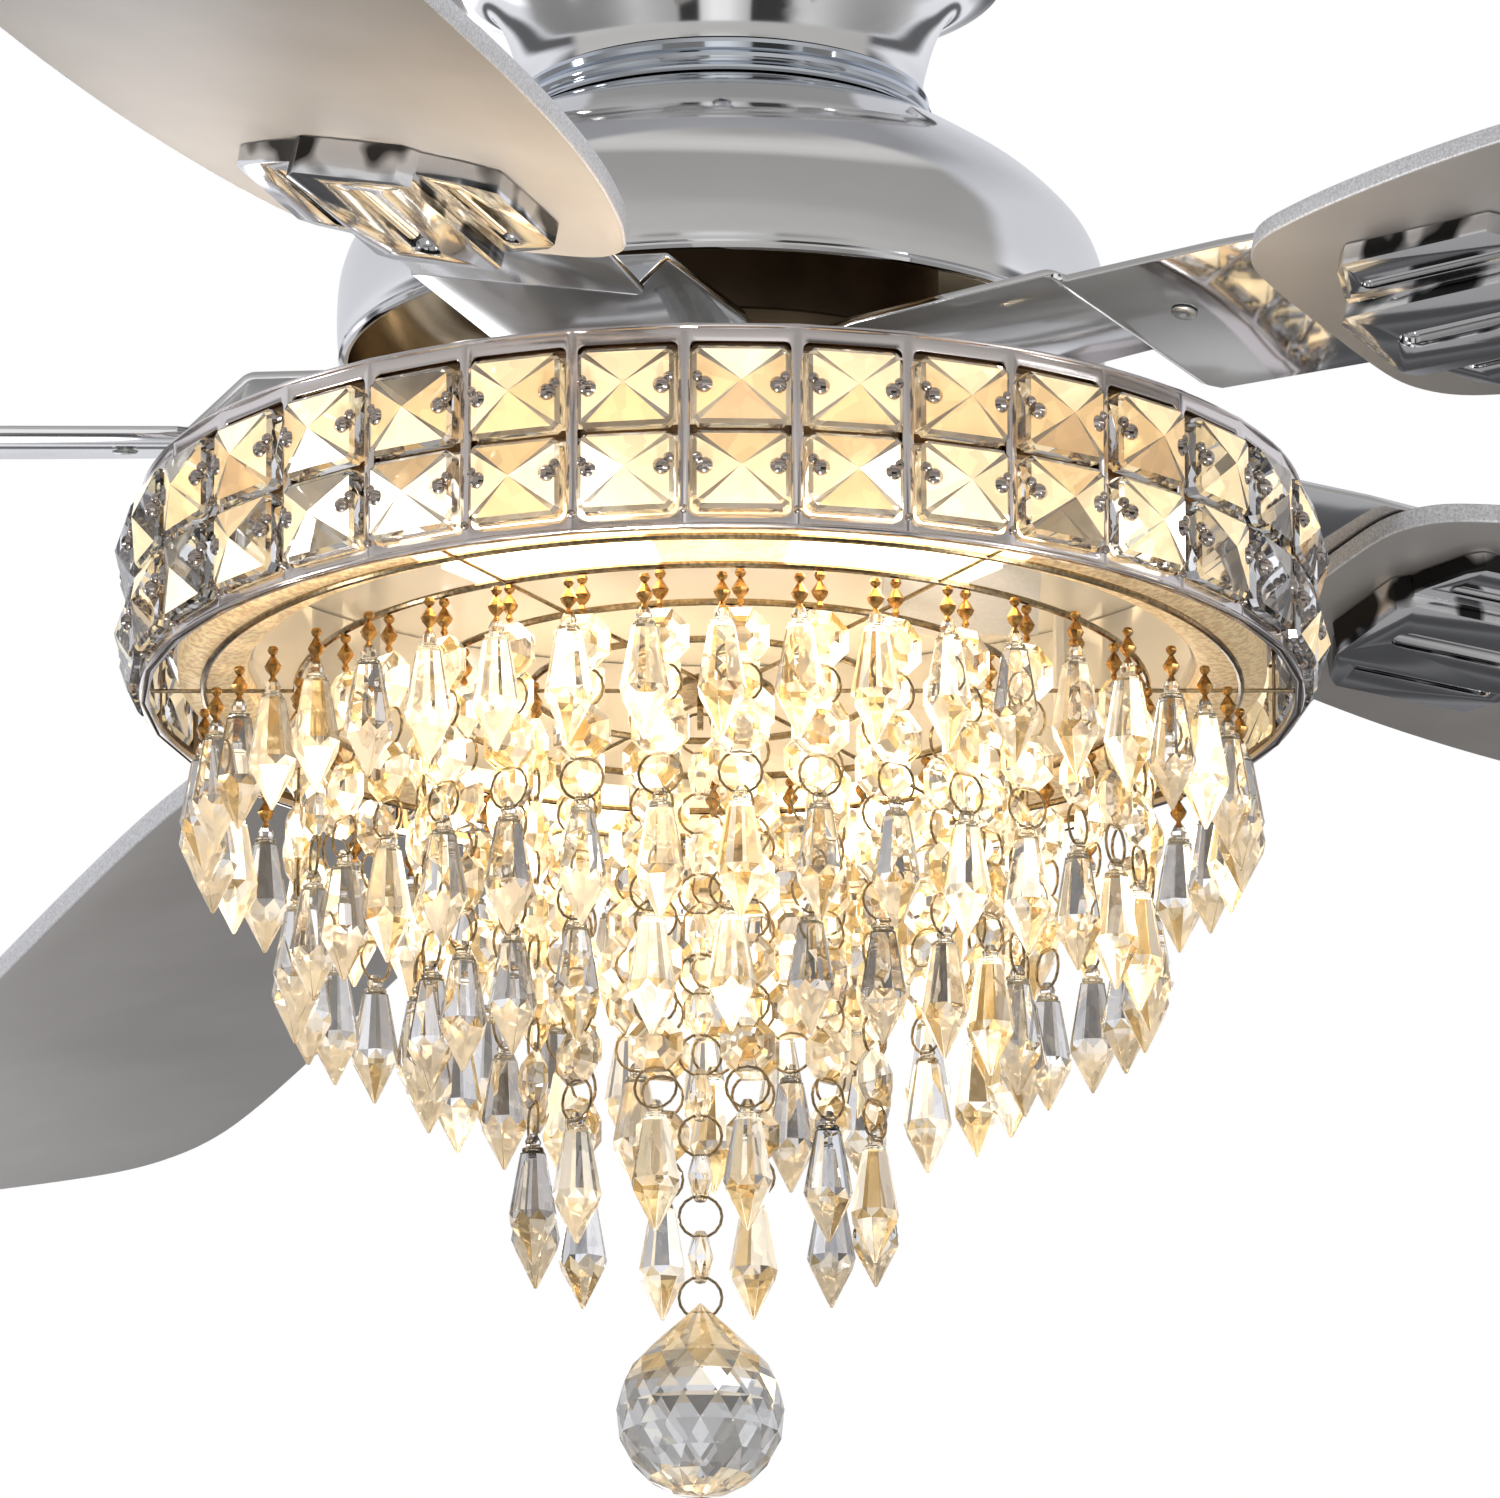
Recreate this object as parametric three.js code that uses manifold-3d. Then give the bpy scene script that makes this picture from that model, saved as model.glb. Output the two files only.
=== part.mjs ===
// A chandelier ceiling fan: a flush-mount fan with five blades and a crystal light under it.
// Millimetres, +Z up. The origin is on the axis, on the ceiling face of the bracket.
import * as THREE from "three";
import { mergeVertices } from "three/addons/utils/BufferGeometryUtils.js";
import Module from "manifold-3d";

// Clearances shared by the pieces
const SEAT_GAP = 0.3;
const RUNNING_GAP = 1.2;
const CUT_OVERRUN = 4;
const MERGE_DISTANCE = 1e-4;

// Ceiling bracket and its pin
const BRACKET_RADIUS = 50;
const BRACKET_THICKNESS = 2.5;
const BRACKET_SLOT_OFFSET = 35;
const BRACKET_SLOT_LENGTH = 12;
const BRACKET_SLOT_WIDTH = 5;
const WIRE_HOLE_OFFSET = 27;
const WIRE_HOLE_RADIUS = 8;
const BOSS_WALL = 5;
const BOSS_HEIGHT = 20;
const EAR_WIDTH = 16;
const EAR_DEPTH = 14;
const EAR_THICKNESS = 2;
const PIN_RADIUS = 2.5;
const PIN_DROP = 12;
const PIN_OVERHANG = 2;

// Canopy: a trumpet with a rolled rim at the ceiling
const CANOPY_RIM_RADIUS = 66;
const CANOPY_RIM_THICKNESS = 3;
const CANOPY_NECK_RADIUS = 46.2;
const CANOPY_HEIGHT = 32.6;
const CANOPY_WALL = 1.4;
const CANOPY_FLARE_SHARES = [
  [0.72, 0.13],
  [0.44, 0.25],
  [0.19, 0.55],
  [0.04, 0.83],
  [0, 1],
];
const CANOPY_SCREW_RADIUS = 2;
const CANOPY_SCREW_HEAD_RADIUS = 3.6;
const CANOPY_SCREW_HEAD_HEIGHT = 2.4;
const CANOPY_SCREW_DROP = 11;
const CANOPY_SCREW_AZIMUTH = 90;

// Receiver in the canopy
const RECEIVER_LENGTH = 44;
const RECEIVER_WIDTH = 17;
const RECEIVER_HEIGHT = 14;
const RECEIVER_OFFSET = 29;

// Collar under the canopy
const COLLAR_HEIGHT = 8.8;
const COLLAR_BOTTOM_RADIUS = 50;
const COLLAR_BORE_RADIUS = 38;
const COLLAR_STEP_SHARES = [
  [0, 0],
  [0.42, 0.12],
  [0.36, 0.4],
  [0.74, 0.5],
  [0.68, 0.76],
  [1, 0.88],
  [1, 1],
];

// Motor housing: a bell
const HOUSING_TOP_RADIUS = 49.5;
const HOUSING_WIDEST_RADIUS = 88.9;
const HOUSING_HEIGHT = 55.6;
const HOUSING_WALL = 1.6;
const HOUSING_LIP_RADIUS = 87.1;
const HOUSING_LIP_HEIGHT = 2.4;
const HOUSING_BELL_SHARES = [
  [0, 0],
  [0.19, 0.07],
  [0.39, 0.16],
  [0.6, 0.26],
  [0.775, 0.375],
  [0.905, 0.495],
  [0.975, 0.63],
  [1, 0.775],
  [0.985, 0.9],
];

// Shaft, bearings and motor
const SHAFT_RADIUS = 8;
const SHAFT_BORE_RADIUS = 5.5;
const SHAFT_TOP_CLEARANCE = 1;
const BEARING_RADIUS = 15;
const BEARING_HEIGHT = 7;
const ROTOR_RADIUS = 50;
const ROTOR_SHOULDER_RADIUS = 42;
const ROTOR_HEIGHT = 42;
const ROTOR_SHOULDER_HEIGHT = 7;
const ROTOR_WALL = 3;
const ROTOR_TOP_DROP = 17;
const STATOR_RADIUS = 44;
const STATOR_HEIGHT = 18;
const WINDING_RADIUS = 38;
const WINDING_INNER_RADIUS = 22;
const WINDING_HEIGHT = 5;

// Flywheel that carries the blade irons
const FLYWHEEL_RADIUS = 58;
const FLYWHEEL_BORE_RADIUS = 22;
const FLYWHEEL_THICKNESS = 4;

// Blades
const BLADE_COUNT = 5;
const BLADE_FIRST_AZIMUTH = THREE.MathUtils.degToRad(35);
const BLADE_PITCH = THREE.MathUtils.degToRad(12);
const BLADE_THICKNESS = 5;
const BLADE_ROOT_INSET = 49;
const BLADE_TIP_RADIUS = 660;
const BLADE_HALF_WIDTH = 61;
const BLADE_PLANE_BELOW_FLYWHEEL = 15.7;
const BLADE_OUTLINE_SHARES = [
  [0, 0.42],
  [0.006, 0.56],
  [0.018, 0.65],
  [0.04, 0.71],
  [0.08, 0.8],
  [0.16, 0.915],
  [0.26, 0.985],
  [0.4, 1],
  [0.6, 1],
  [0.8, 1],
  [0.88, 0.985],
  [0.94, 0.94],
  [0.972, 0.86],
  [0.99, 0.74],
  [0.998, 0.6],
  [1, 0.5],
];

// Blade irons: sheet arms folded down from the hub plate to a tab under the blade's pitch.
// A station gives the clockwise edge's place and width, then the counter-clockwise edge's.
const IRON_THICKNESS = 2;
const IRON_INNER_RADIUS = 42;
const IRON_FOLD_RADIUS = 117.4;
const IRON_LEG_RUN = 2.6;
const IRON_TAB_LENGTH = 120;
const IRON_HALF_WIDTH = 33.5;
const IRON_HUB_SHARES = [
  [0, -0.84, 0, 0.7],
  [0.26, -0.97, 0.26, 0.8],
  [1, -1.02, 0.87, 0.72],
];
const IRON_TAB_SHARES = [
  [0, -1, 0.012, 0.6],
  [0.037, -1, 0.037, 0.7],
  [0.357, -1, 0.357, 0.79],
  [0.835, -0.9, 0.835, 0.7],
  [1, -0.55, 1, 0.45],
];
const IRON_SCREW_INSET = 18;
const IRON_SCREW_ACROSS = -11;
const IRON_SCREW_RADIUS = 2;
const IRON_SCREW_HEAD_RADIUS = 3.8;
const IRON_SCREW_HEAD_HEIGHT = 2;
const IRON_SCREW_NUT_RADIUS = 3.6;
const IRON_SCREW_NUT_HEIGHT = 2.4;

// Medallions: stepped pads with long slots
const MEDALLION_INSET = 14;
const MEDALLION_LENGTH = 66;
const MEDALLION_HALF_WIDTH = 31;
const MEDALLION_BASE_HEIGHT = 5;
const MEDALLION_PAD_HEIGHT = 8.5;
const MEDALLION_PAD_HALF_WIDTH = 15;
const MEDALLION_SLOT_DEPTH = 2;
const MEDALLION_SLOT_WIDTH = 6.6;
const MEDALLION_SLOT_LENGTH = 46;
const MEDALLION_SIDE_SLOT_WIDTH = 3.4;
const MEDALLION_SIDE_SLOT_LENGTH = 36;
const MEDALLION_SIDE_SLOT_OFFSET = 20.5;
const MEDALLION_OUTLINE_SHARES = [
  [0, 0.5],
  [0.2, 1],
  [0.8, 1],
  [1, 0.5],
];
const MEDALLION_PAD_SHARES = [
  [0, 0.8],
  [0.06, 1],
  [0.94, 1],
  [1, 0.8],
];

// Drum: a band with square windows, and crystals in two rows
const DRUM_COLUMNS = 33;
const DRUM_PHASE = THREE.MathUtils.degToRad(1.8);
const DRUM_RADIUS = 133.6;
const DRUM_HEIGHT = 48;
const DRUM_WALL = 1.2;
const DRUM_TOP_FLANGE = 8;
const DRUM_BOTTOM_FLANGE = 4;
const DRUM_BELOW_FLYWHEEL = 24.6;
const DRUM_BAR_WIDTH = 2.8;
const WINDOW_BOTTOM_BAND = 3.6;
const WINDOW_TOP_BAND = 4.2;
const CRYSTAL_GAP = 0.5;
const CRYSTAL_BACK_DEPTH = 4.4;
const CRYSTAL_STANDOUT = 1.2;
const CRYSTAL_POINT = 5;

// Light pan, reflector, light ring and driver
const PAN_THICKNESS = 1.2;
const REFLECTOR_INSET = 11.6;
const REFLECTOR_WALL = 1.2;
const LED_RING_INSET = 8.6;
const LED_RING_WIDTH = 16;
const LED_RING_HEIGHT = 5.6;
const LED_CARRIER_MARGIN = 1;
const LED_CARRIER_THICKNESS = 1.5;
const LED_POST_RADIUS = 2.5;
const LED_POST_COUNT = 4;
const DRIVER_LENGTH = 60;
const DRIVER_WIDTH = 36;
const DRIVER_HEIGHT = 20;
const DRIVER_OFFSET = 55;
const SHAFT_NUT_RADIUS = 13;
const SHAFT_NUT_HEIGHT = 8;

// Hanger frame: welded rings on spokes
const HANGER_THICKNESS = 2;
const HANGER_RING_WIDTH = 3;
const HANGER_SPOKE_WIDTH = 4;
const HANGER_SPOKE_COUNT = 6;
const HANGER_HUB_RADIUS = 12;
const EYE_THICKNESS = 1.4;
const EYE_RADIUS = 4;
const EYE_HOLE_RADIUS = 1.7;
const EYE_DROP = 4.5;

// Crystal tiers: each strand has beads and ends in a pointed drop
const DROP_LENGTH = 30.5;
const DROP_RADIUS = 5.6;
const DROP_NECK_RADIUS = 1.8;
const DROP_WIDEST_SHARE = 0.68;
const STRAND_RADIUS = 0.8;
const STRAND_SIDES = 4;
const BEAD_RADIUS = 4.6;
const TIER_WIRE = 1.2;
const TIER_1_INSET = 14.6;
const TIER_2_INSET = 21.4;
const TIER_3_INSET = 28.6;
const TIER_4_INSET = 28.8;
const TIER_1_REACH = 44.4;
const TIER_2_REACH = 80.2;
const TIER_3_REACH = 98.4;
const TIER_4_REACH = 136.5;
const TIER_4_ASIDE = -4;

// Centre strand and its ball
const LINK_RADIUS = 4.9;
const LINK_WIRE_RADIUS = 0.55;
const LINK_CLEARANCE = 1.3;
const STRAND_BEAD_RADIUS = 3;
const STRAND_BEAD_WAIST_RADIUS = 0.8;
const STRAND_LINK_COUNT = 8;
const LINK_SIDES = 10;
const BALL_RADIUS = 19.3;
const BALL_DROP = 169;
const BALL_TIP_RISE = 26.3;
const BALL_SIDES = 12;
const PENDANT_ASIDE = -5;

// Facet counts
const FINE_SIDES = 28;
const HOOP_SIDES = 20;
const ROUND_SIDES = 14;
const SMALL_SIDES = 8;
const NUT_SIDES = 6;

const wasm = await Module();
wasm.setup();

// Levels along the axis, worked out from the pieces above them
const canopyBottom = -CANOPY_HEIGHT;
const collarTop = canopyBottom - SEAT_GAP;
const collarBottom = collarTop - COLLAR_HEIGHT;
const housingTop = collarBottom - SEAT_GAP;
const housingBottom = housingTop - HOUSING_HEIGHT;
const rotorTop = housingTop - ROTOR_TOP_DROP;
const rotorBottom = rotorTop - ROTOR_HEIGHT;
const flywheelTop = rotorBottom - SEAT_GAP;
const flywheelBottom = flywheelTop - FLYWHEEL_THICKNESS;
const bladePlane = flywheelBottom - BLADE_PLANE_BELOW_FLYWHEEL;
const drumTop = flywheelBottom - DRUM_BELOW_FLYWHEEL;
const drumBottom = drumTop - DRUM_HEIGHT;
const panTop = drumTop - DRUM_WALL - SEAT_GAP;
const panBottom = panTop - PAN_THICKNESS;
const hangerBottom = drumBottom + DRUM_WALL + SEAT_GAP;
const hangerTop = hangerBottom + HANGER_THICKNESS;
const ledBottom = hangerTop + SEAT_GAP;
const ledTop = ledBottom + LED_RING_HEIGHT;
const carrierBottom = ledTop + SEAT_GAP;
const shaftBottom = panBottom - SHAFT_NUT_HEIGHT;
const eyeCentre = hangerBottom - EYE_DROP;

// Places along a blade, and the drum's columns and windows
const tabStart = IRON_FOLD_RADIUS + IRON_LEG_RUN;
const ironScrewAlong = tabStart + IRON_SCREW_INSET;
const bladeRoot = tabStart + BLADE_ROOT_INSET;
const medallionStart = bladeRoot + MEDALLION_INSET;
const columnStep = (2 * Math.PI) / DRUM_COLUMNS;
const drumTurn = DRUM_PHASE + columnStep / 2;
const drumInner = DRUM_RADIUS - DRUM_WALL;
const drumInnerFlat = drumInner * Math.cos(columnStep / 2);
const windowWidth = 2 * DRUM_RADIUS * Math.sin(columnStep / 2) - DRUM_BAR_WIDTH;
const windowBottom = drumBottom + WINDOW_BOTTOM_BAND;
const windowTop = drumTop - WINDOW_TOP_BAND;
const rowMiddle = (windowBottom + windowTop) / 2;
const ledRingRadius = DRUM_RADIUS - LED_RING_INSET;
const reflectorRadius = DRUM_RADIUS - REFLECTOR_INSET;

// The rings of hanging crystals, from the outside in. Phases are in degrees from the front.
const tierRadius1 = DRUM_RADIUS - TIER_1_INSET;
const tierRadius2 = tierRadius1 - TIER_2_INSET;
const tierRadius3 = tierRadius2 - TIER_3_INSET;
const tierRadius4 = tierRadius3 - TIER_4_INSET;
const tiers = [
  { count: 43, radius: tierRadius1, reach: TIER_1_REACH, beads: 0, phase: 0, aside: 0 },
  { count: 34, radius: tierRadius2, reach: TIER_2_REACH, beads: 2, phase: 2.4, aside: 0 },
  { count: 24, radius: tierRadius3, reach: TIER_3_REACH, beads: 3, phase: 1.7, aside: 0 },
  { count: 12, radius: tierRadius4, reach: TIER_4_REACH, beads: 5, phase: 14, aside: TIER_4_ASIDE },
];

// Merges a geometry's shared vertices and makes it a solid whose faces point out.
function solidFrom(geometry) {
  const bare = new THREE.BufferGeometry();
  bare.setAttribute("position", geometry.getAttribute("position").clone());
  bare.setIndex(geometry.getIndex());
  const merged = mergeVertices(bare, MERGE_DISTANCE);
  const index = merged.getIndex().array;
  const corners = [];
  for (let i = 0; i < index.length; i += 3) {
    const [a, b, c] = index.slice(i, i + 3);
    if (a !== b && b !== c && c !== a) corners.push(a, b, c);
  }
  const build = (triangles) =>
    new wasm.Manifold(
      new wasm.Mesh({
        numProp: 3,
        vertProperties: merged.getAttribute("position").array,
        triVerts: new Uint32Array(triangles),
      }),
    );
  const solid = build(corners);
  return solid.volume() < 0 ? build(corners.reverse()) : solid;
}

// Turns a solid back into a mesh with a name and a material.
function meshFrom(solid, name, material) {
  const made = solid.getMesh();
  const stride = made.numProp;
  const positions = new Float32Array(made.numVert * 3);
  for (let i = 0; i < made.numVert; i++) {
    positions.set(made.vertProperties.subarray(i * stride, i * stride + 3), i * 3);
  }
  const geometry = new THREE.BufferGeometry();
  geometry.setAttribute("position", new THREE.BufferAttribute(positions, 3));
  geometry.setIndex(new THREE.BufferAttribute(new Uint32Array(made.triVerts), 1));
  geometry.computeVertexNormals();
  const mesh = new THREE.Mesh(geometry, material);
  mesh.name = name;
  return mesh;
}

// A solid turned about +Z from a closed profile of [radius, height] points.
function turned(profile, sides, firstAngle = 0) {
  const points = profile.map(([radius, height]) => new THREE.Vector2(radius, height));
  points.push(points[0].clone());
  const geometry = new THREE.LatheGeometry(points, sides);
  geometry.rotateX(Math.PI / 2);
  geometry.rotateZ(firstAngle);
  return solidFrom(geometry);
}

// A ring with a rectangular section.
function ring(inner, outer, bottom, top, sides, firstAngle = 0) {
  const profile = [
    [inner, bottom],
    [outer, bottom],
    [outer, top],
    [inner, top],
  ];
  return turned(profile, sides, firstAngle);
}

// A cylinder standing on the axis.
function cylinder(radius, bottom, top, sides, firstAngle = 0) {
  return ring(0, radius, bottom, top, sides, firstAngle);
}

// A flat outline of [x, y] points raised along +Z from a height.
function plate(outline, bottom, height) {
  const shape = new THREE.Shape(outline.map(([x, y]) => new THREE.Vector2(x, y)));
  const geometry = new THREE.ExtrudeGeometry(shape, { depth: height, bevelEnabled: false });
  geometry.translate(0, 0, bottom);
  return solidFrom(geometry);
}

// A box centred on x and y, standing on a height.
function block(length, width, bottom, height) {
  const outline = [
    [-length / 2, -width / 2],
    [length / 2, -width / 2],
    [length / 2, width / 2],
    [-length / 2, width / 2],
  ];
  return plate(outline, bottom, height);
}

// A long hole's outline: a box with round ends along X.
function slotOutline(length, width) {
  const shape = new THREE.Shape();
  const reach = (length - width) / 2;
  shape.absarc(reach, 0, width / 2, -Math.PI / 2, Math.PI / 2, false);
  shape.absarc(-reach, 0, width / 2, Math.PI / 2, (Math.PI * 3) / 2, false);
  return shape.getPoints(SMALL_SIDES / 2).map((point) => [point.x, point.y]);
}

// A closed ring of wire in the XZ plane.
function link(radius, wireRadius, height) {
  const geometry = new THREE.TorusGeometry(radius, wireRadius, STRAND_SIDES, LINK_SIDES);
  geometry.rotateX(Math.PI / 2);
  geometry.translate(0, 0, height);
  return solidFrom(geometry);
}

function finish(color, roughness, metalness) {
  return new THREE.MeshStandardMaterial({ color, roughness, metalness });
}

const chrome = () => finish(0xc9ccd0, 0.06, 1);
const silverPaint = () => finish(0xb9b3ac, 0.42, 0.55);
const darkMetal = () => finish(0x3b342e, 0.45, 0.8);
const steel = () => finish(0x9fa3a6, 0.35, 1);
const zinc = () => finish(0x9fb0b4, 0.3, 1);
const copper = () => finish(0xb4683a, 0.35, 1);
const whitePaint = () => finish(0xefece6, 0.5, 0);
const blackPlastic = () => finish(0x1e1f21, 0.5, 0);
const warmDiffuser = () => finish(0xffe7b8, 0.4, 0);

function clearCrystal() {
  const material = finish(0xf4f7fa, 0.02, 0);
  material.transparent = true;
  material.opacity = 0.45;
  return material;
}

const shaftHoleRadius = SHAFT_RADIUS + SEAT_GAP;
const pinHeight = -BRACKET_THICKNESS - PIN_DROP;
const screwHeight = -CANOPY_SCREW_DROP;

// The cross pin's body, grown by a clearance for the holes that it passes through.
function crossPin(grow, length) {
  const pin = cylinder(PIN_RADIUS + grow, -length / 2, length / 2, SMALL_SIDES);
  return pin.rotate([90, 0, 0]).translate([0, 0, pinHeight]);
}

function ceilingBracket() {
  let solid = cylinder(BRACKET_RADIUS, -BRACKET_THICKNESS, 0, FINE_SIDES);
  const bossOuter = shaftHoleRadius + BOSS_WALL;
  const bossBottom = -BRACKET_THICKNESS - BOSS_HEIGHT;
  const boss = ring(shaftHoleRadius, bossOuter, bossBottom, -BRACKET_THICKNESS, ROUND_SIDES);
  solid = solid.add(boss);
  for (const side of [-1, 1]) {
    const slot = plate(
      slotOutline(BRACKET_SLOT_LENGTH, BRACKET_SLOT_WIDTH),
      -BRACKET_THICKNESS - CUT_OVERRUN,
      BRACKET_THICKNESS + 2 * CUT_OVERRUN,
    );
    solid = solid.subtract(slot.rotate([0, 0, 90]).translate([0, side * BRACKET_SLOT_OFFSET, 0]));
    const ear = block(EAR_THICKNESS, EAR_WIDTH, -BRACKET_THICKNESS - EAR_DEPTH, EAR_DEPTH);
    solid = solid.add(ear.translate([side * earOffset, 0, 0]).rotate([0, 0, CANOPY_SCREW_AZIMUTH]));
  }
  const wireHole = cylinder(
    WIRE_HOLE_RADIUS,
    -BRACKET_THICKNESS - CUT_OVERRUN,
    CUT_OVERRUN,
    ROUND_SIDES,
  );
  const turn = Math.PI / 4;
  const wireX = WIRE_HOLE_OFFSET * Math.cos(turn);
  const wireY = WIRE_HOLE_OFFSET * Math.sin(turn);
  solid = solid.subtract(wireHole.translate([wireX, wireY, 0]));
  solid = solid.subtract(crossPin(SEAT_GAP, 2 * (bossOuter + CUT_OVERRUN)));
  return solid.subtract(screwHoles(CANOPY_SCREW_RADIUS + SEAT_GAP));
}

// The shaft's hole through a piece that reaches from one height to another.
function shaftHole(bottom, top) {
  return cylinder(shaftHoleRadius, bottom - CUT_OVERRUN, top + CUT_OVERRUN, ROUND_SIDES);
}

// Both canopy screws' holes as one cut across the canopy and the ears.
function screwHoles(radius) {
  const reach = CANOPY_RIM_RADIUS + CUT_OVERRUN;
  const inner = earOffset - EAR_THICKNESS - CUT_OVERRUN;
  const right = cylinder(radius, inner, reach, SMALL_SIDES).rotate([0, 90, 0]);
  const left = cylinder(radius, inner, reach, SMALL_SIDES).rotate([0, -90, 0]);
  const both = right.add(left).rotate([0, 0, CANOPY_SCREW_AZIMUTH]);
  return both.translate([0, 0, screwHeight]);
}

// The canopy's outer radius at a depth below the ceiling.
function canopyRadiusAt(depth) {
  const flare = CANOPY_RIM_RADIUS - CANOPY_NECK_RADIUS;
  let above = [1, 0];
  for (const station of CANOPY_FLARE_SHARES) {
    if (depth <= station[1] * CANOPY_HEIGHT) {
      const span = (station[1] - above[1]) * CANOPY_HEIGHT;
      const part = (depth - above[1] * CANOPY_HEIGHT) / span;
      return CANOPY_NECK_RADIUS + flare * (above[0] + (station[0] - above[0]) * part);
    }
    above = station;
  }
  return CANOPY_NECK_RADIUS;
}

const canopyScrewSeat = canopyRadiusAt(CANOPY_SCREW_DROP);
const earOffset = canopyRadiusAt(BRACKET_THICKNESS + EAR_DEPTH) - CANOPY_WALL - EAR_THICKNESS;
// The wall slopes under a screw's head, so the head stands clear at its upper edge.
const headLift = canopyRadiusAt(CANOPY_SCREW_DROP - CANOPY_SCREW_HEAD_RADIUS) - canopyScrewSeat;

function bracketPin() {
  const length = 2 * (shaftHoleRadius + BOSS_WALL + PIN_OVERHANG);
  return crossPin(0, length);
}

function canopy() {
  const flare = CANOPY_RIM_RADIUS - CANOPY_NECK_RADIUS;
  const outside = CANOPY_FLARE_SHARES.map(([out, down]) => [
    CANOPY_NECK_RADIUS + flare * out,
    -CANOPY_HEIGHT * down,
  ]);
  const inside = outside.map(([radius, height]) => [radius - CANOPY_WALL, height]).reverse();
  const rim = [
    [CANOPY_RIM_RADIUS - CANOPY_WALL, 0],
    [CANOPY_RIM_RADIUS, 0],
    [CANOPY_RIM_RADIUS, -CANOPY_RIM_THICKNESS],
  ];
  const solid = turned([...rim, ...outside, ...inside], FINE_SIDES);
  return solid.subtract(screwHoles(CANOPY_SCREW_RADIUS + SEAT_GAP));
}

function canopyScrew(side) {
  const innerEnd = earOffset - EAR_THICKNESS;
  const seat = canopyScrewSeat + headLift + SEAT_GAP;
  const top = seat + CANOPY_SCREW_HEAD_HEIGHT;
  const shank = cylinder(CANOPY_SCREW_RADIUS, innerEnd, top, SMALL_SIDES);
  const head = cylinder(CANOPY_SCREW_HEAD_RADIUS, seat, top, SMALL_SIDES);
  const screw = shank.add(head).rotate([0, side * 90, 0]);
  return screw.rotate([0, 0, CANOPY_SCREW_AZIMUTH]).translate([0, 0, screwHeight]);
}

function receiver() {
  const solid = block(
    RECEIVER_LENGTH,
    RECEIVER_WIDTH,
    -BRACKET_THICKNESS - SEAT_GAP - RECEIVER_HEIGHT,
    RECEIVER_HEIGHT,
  );
  return solid.translate([0, -RECEIVER_OFFSET, 0]);
}

function collar() {
  const growth = COLLAR_BOTTOM_RADIUS - CANOPY_NECK_RADIUS;
  const outside = COLLAR_STEP_SHARES.map(([out, down]) => [
    CANOPY_NECK_RADIUS + growth * out,
    collarTop - COLLAR_HEIGHT * down,
  ]);
  const bore = [
    [COLLAR_BORE_RADIUS, collarBottom],
    [COLLAR_BORE_RADIUS, collarTop],
  ];
  return turned([...outside, ...bore], FINE_SIDES);
}

function motorHousing() {
  const growth = HOUSING_WIDEST_RADIUS - HOUSING_TOP_RADIUS;
  const outside = HOUSING_BELL_SHARES.map(([out, down]) => [
    HOUSING_TOP_RADIUS + growth * out,
    housingTop - HOUSING_HEIGHT * down,
  ]);
  const lip = [
    [HOUSING_LIP_RADIUS, housingBottom + HOUSING_LIP_HEIGHT],
    [HOUSING_LIP_RADIUS, housingBottom],
    [HOUSING_LIP_RADIUS - HOUSING_WALL, housingBottom],
  ];
  const inside = outside
    .filter((station, index) => index % 2 === 0)
    .map(([radius, height]) => [radius - HOUSING_WALL, height - HOUSING_WALL])
    .reverse();
  const deck = [
    [shaftHoleRadius, housingTop - HOUSING_WALL],
    [shaftHoleRadius, housingTop],
  ];
  return turned([...outside, ...lip, ...inside, ...deck], FINE_SIDES);
}

function centreShaft() {
  const top = -BRACKET_THICKNESS - SHAFT_TOP_CLEARANCE;
  const solid = ring(SHAFT_BORE_RADIUS, SHAFT_RADIUS, shaftBottom, top, ROUND_SIDES);
  return solid.subtract(crossPin(SEAT_GAP, 2 * (SHAFT_RADIUS + CUT_OVERRUN)));
}

function bearing(bottom) {
  return ring(shaftHoleRadius, BEARING_RADIUS, bottom, bottom + BEARING_HEIGHT, ROUND_SIDES);
}

const upperBearingBottom = rotorTop - BEARING_HEIGHT;
const lowerBearingBottom = rotorBottom;

function rotorShell() {
  const bore = BEARING_RADIUS + SEAT_GAP;
  const hub = bore + ROTOR_WALL;
  const shoulder = rotorTop - ROTOR_SHOULDER_HEIGHT;
  const profile = [
    [bore, rotorTop],
    [ROTOR_SHOULDER_RADIUS, rotorTop],
    [ROTOR_RADIUS, shoulder],
    [ROTOR_RADIUS, rotorBottom],
    [bore, rotorBottom],
    [bore, rotorBottom + BEARING_HEIGHT],
    [hub, rotorBottom + BEARING_HEIGHT],
    [hub, rotorBottom + ROTOR_WALL],
    [ROTOR_RADIUS - ROTOR_WALL, rotorBottom + ROTOR_WALL],
    [ROTOR_RADIUS - ROTOR_WALL, shoulder - ROTOR_WALL / 2],
    [ROTOR_SHOULDER_RADIUS - ROTOR_WALL / 2, rotorTop - ROTOR_WALL],
    [hub, rotorTop - ROTOR_WALL],
    [hub, rotorTop - BEARING_HEIGHT],
    [bore, rotorTop - BEARING_HEIGHT],
  ];
  return turned(profile, HOOP_SIDES);
}

const statorMiddle = (rotorTop + rotorBottom) / 2;

function statorCore() {
  const half = STATOR_HEIGHT / 2;
  return ring(shaftHoleRadius, STATOR_RADIUS, statorMiddle - half, statorMiddle + half, ROUND_SIDES);
}

function statorWinding() {
  const bottom = statorMiddle + STATOR_HEIGHT / 2 + SEAT_GAP;
  return ring(WINDING_INNER_RADIUS, WINDING_RADIUS, bottom, bottom + WINDING_HEIGHT, ROUND_SIDES);
}

function flywheel() {
  return ring(FLYWHEEL_BORE_RADIUS, FLYWHEEL_RADIUS, flywheelBottom, flywheelTop, FINE_SIDES);
}

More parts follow.
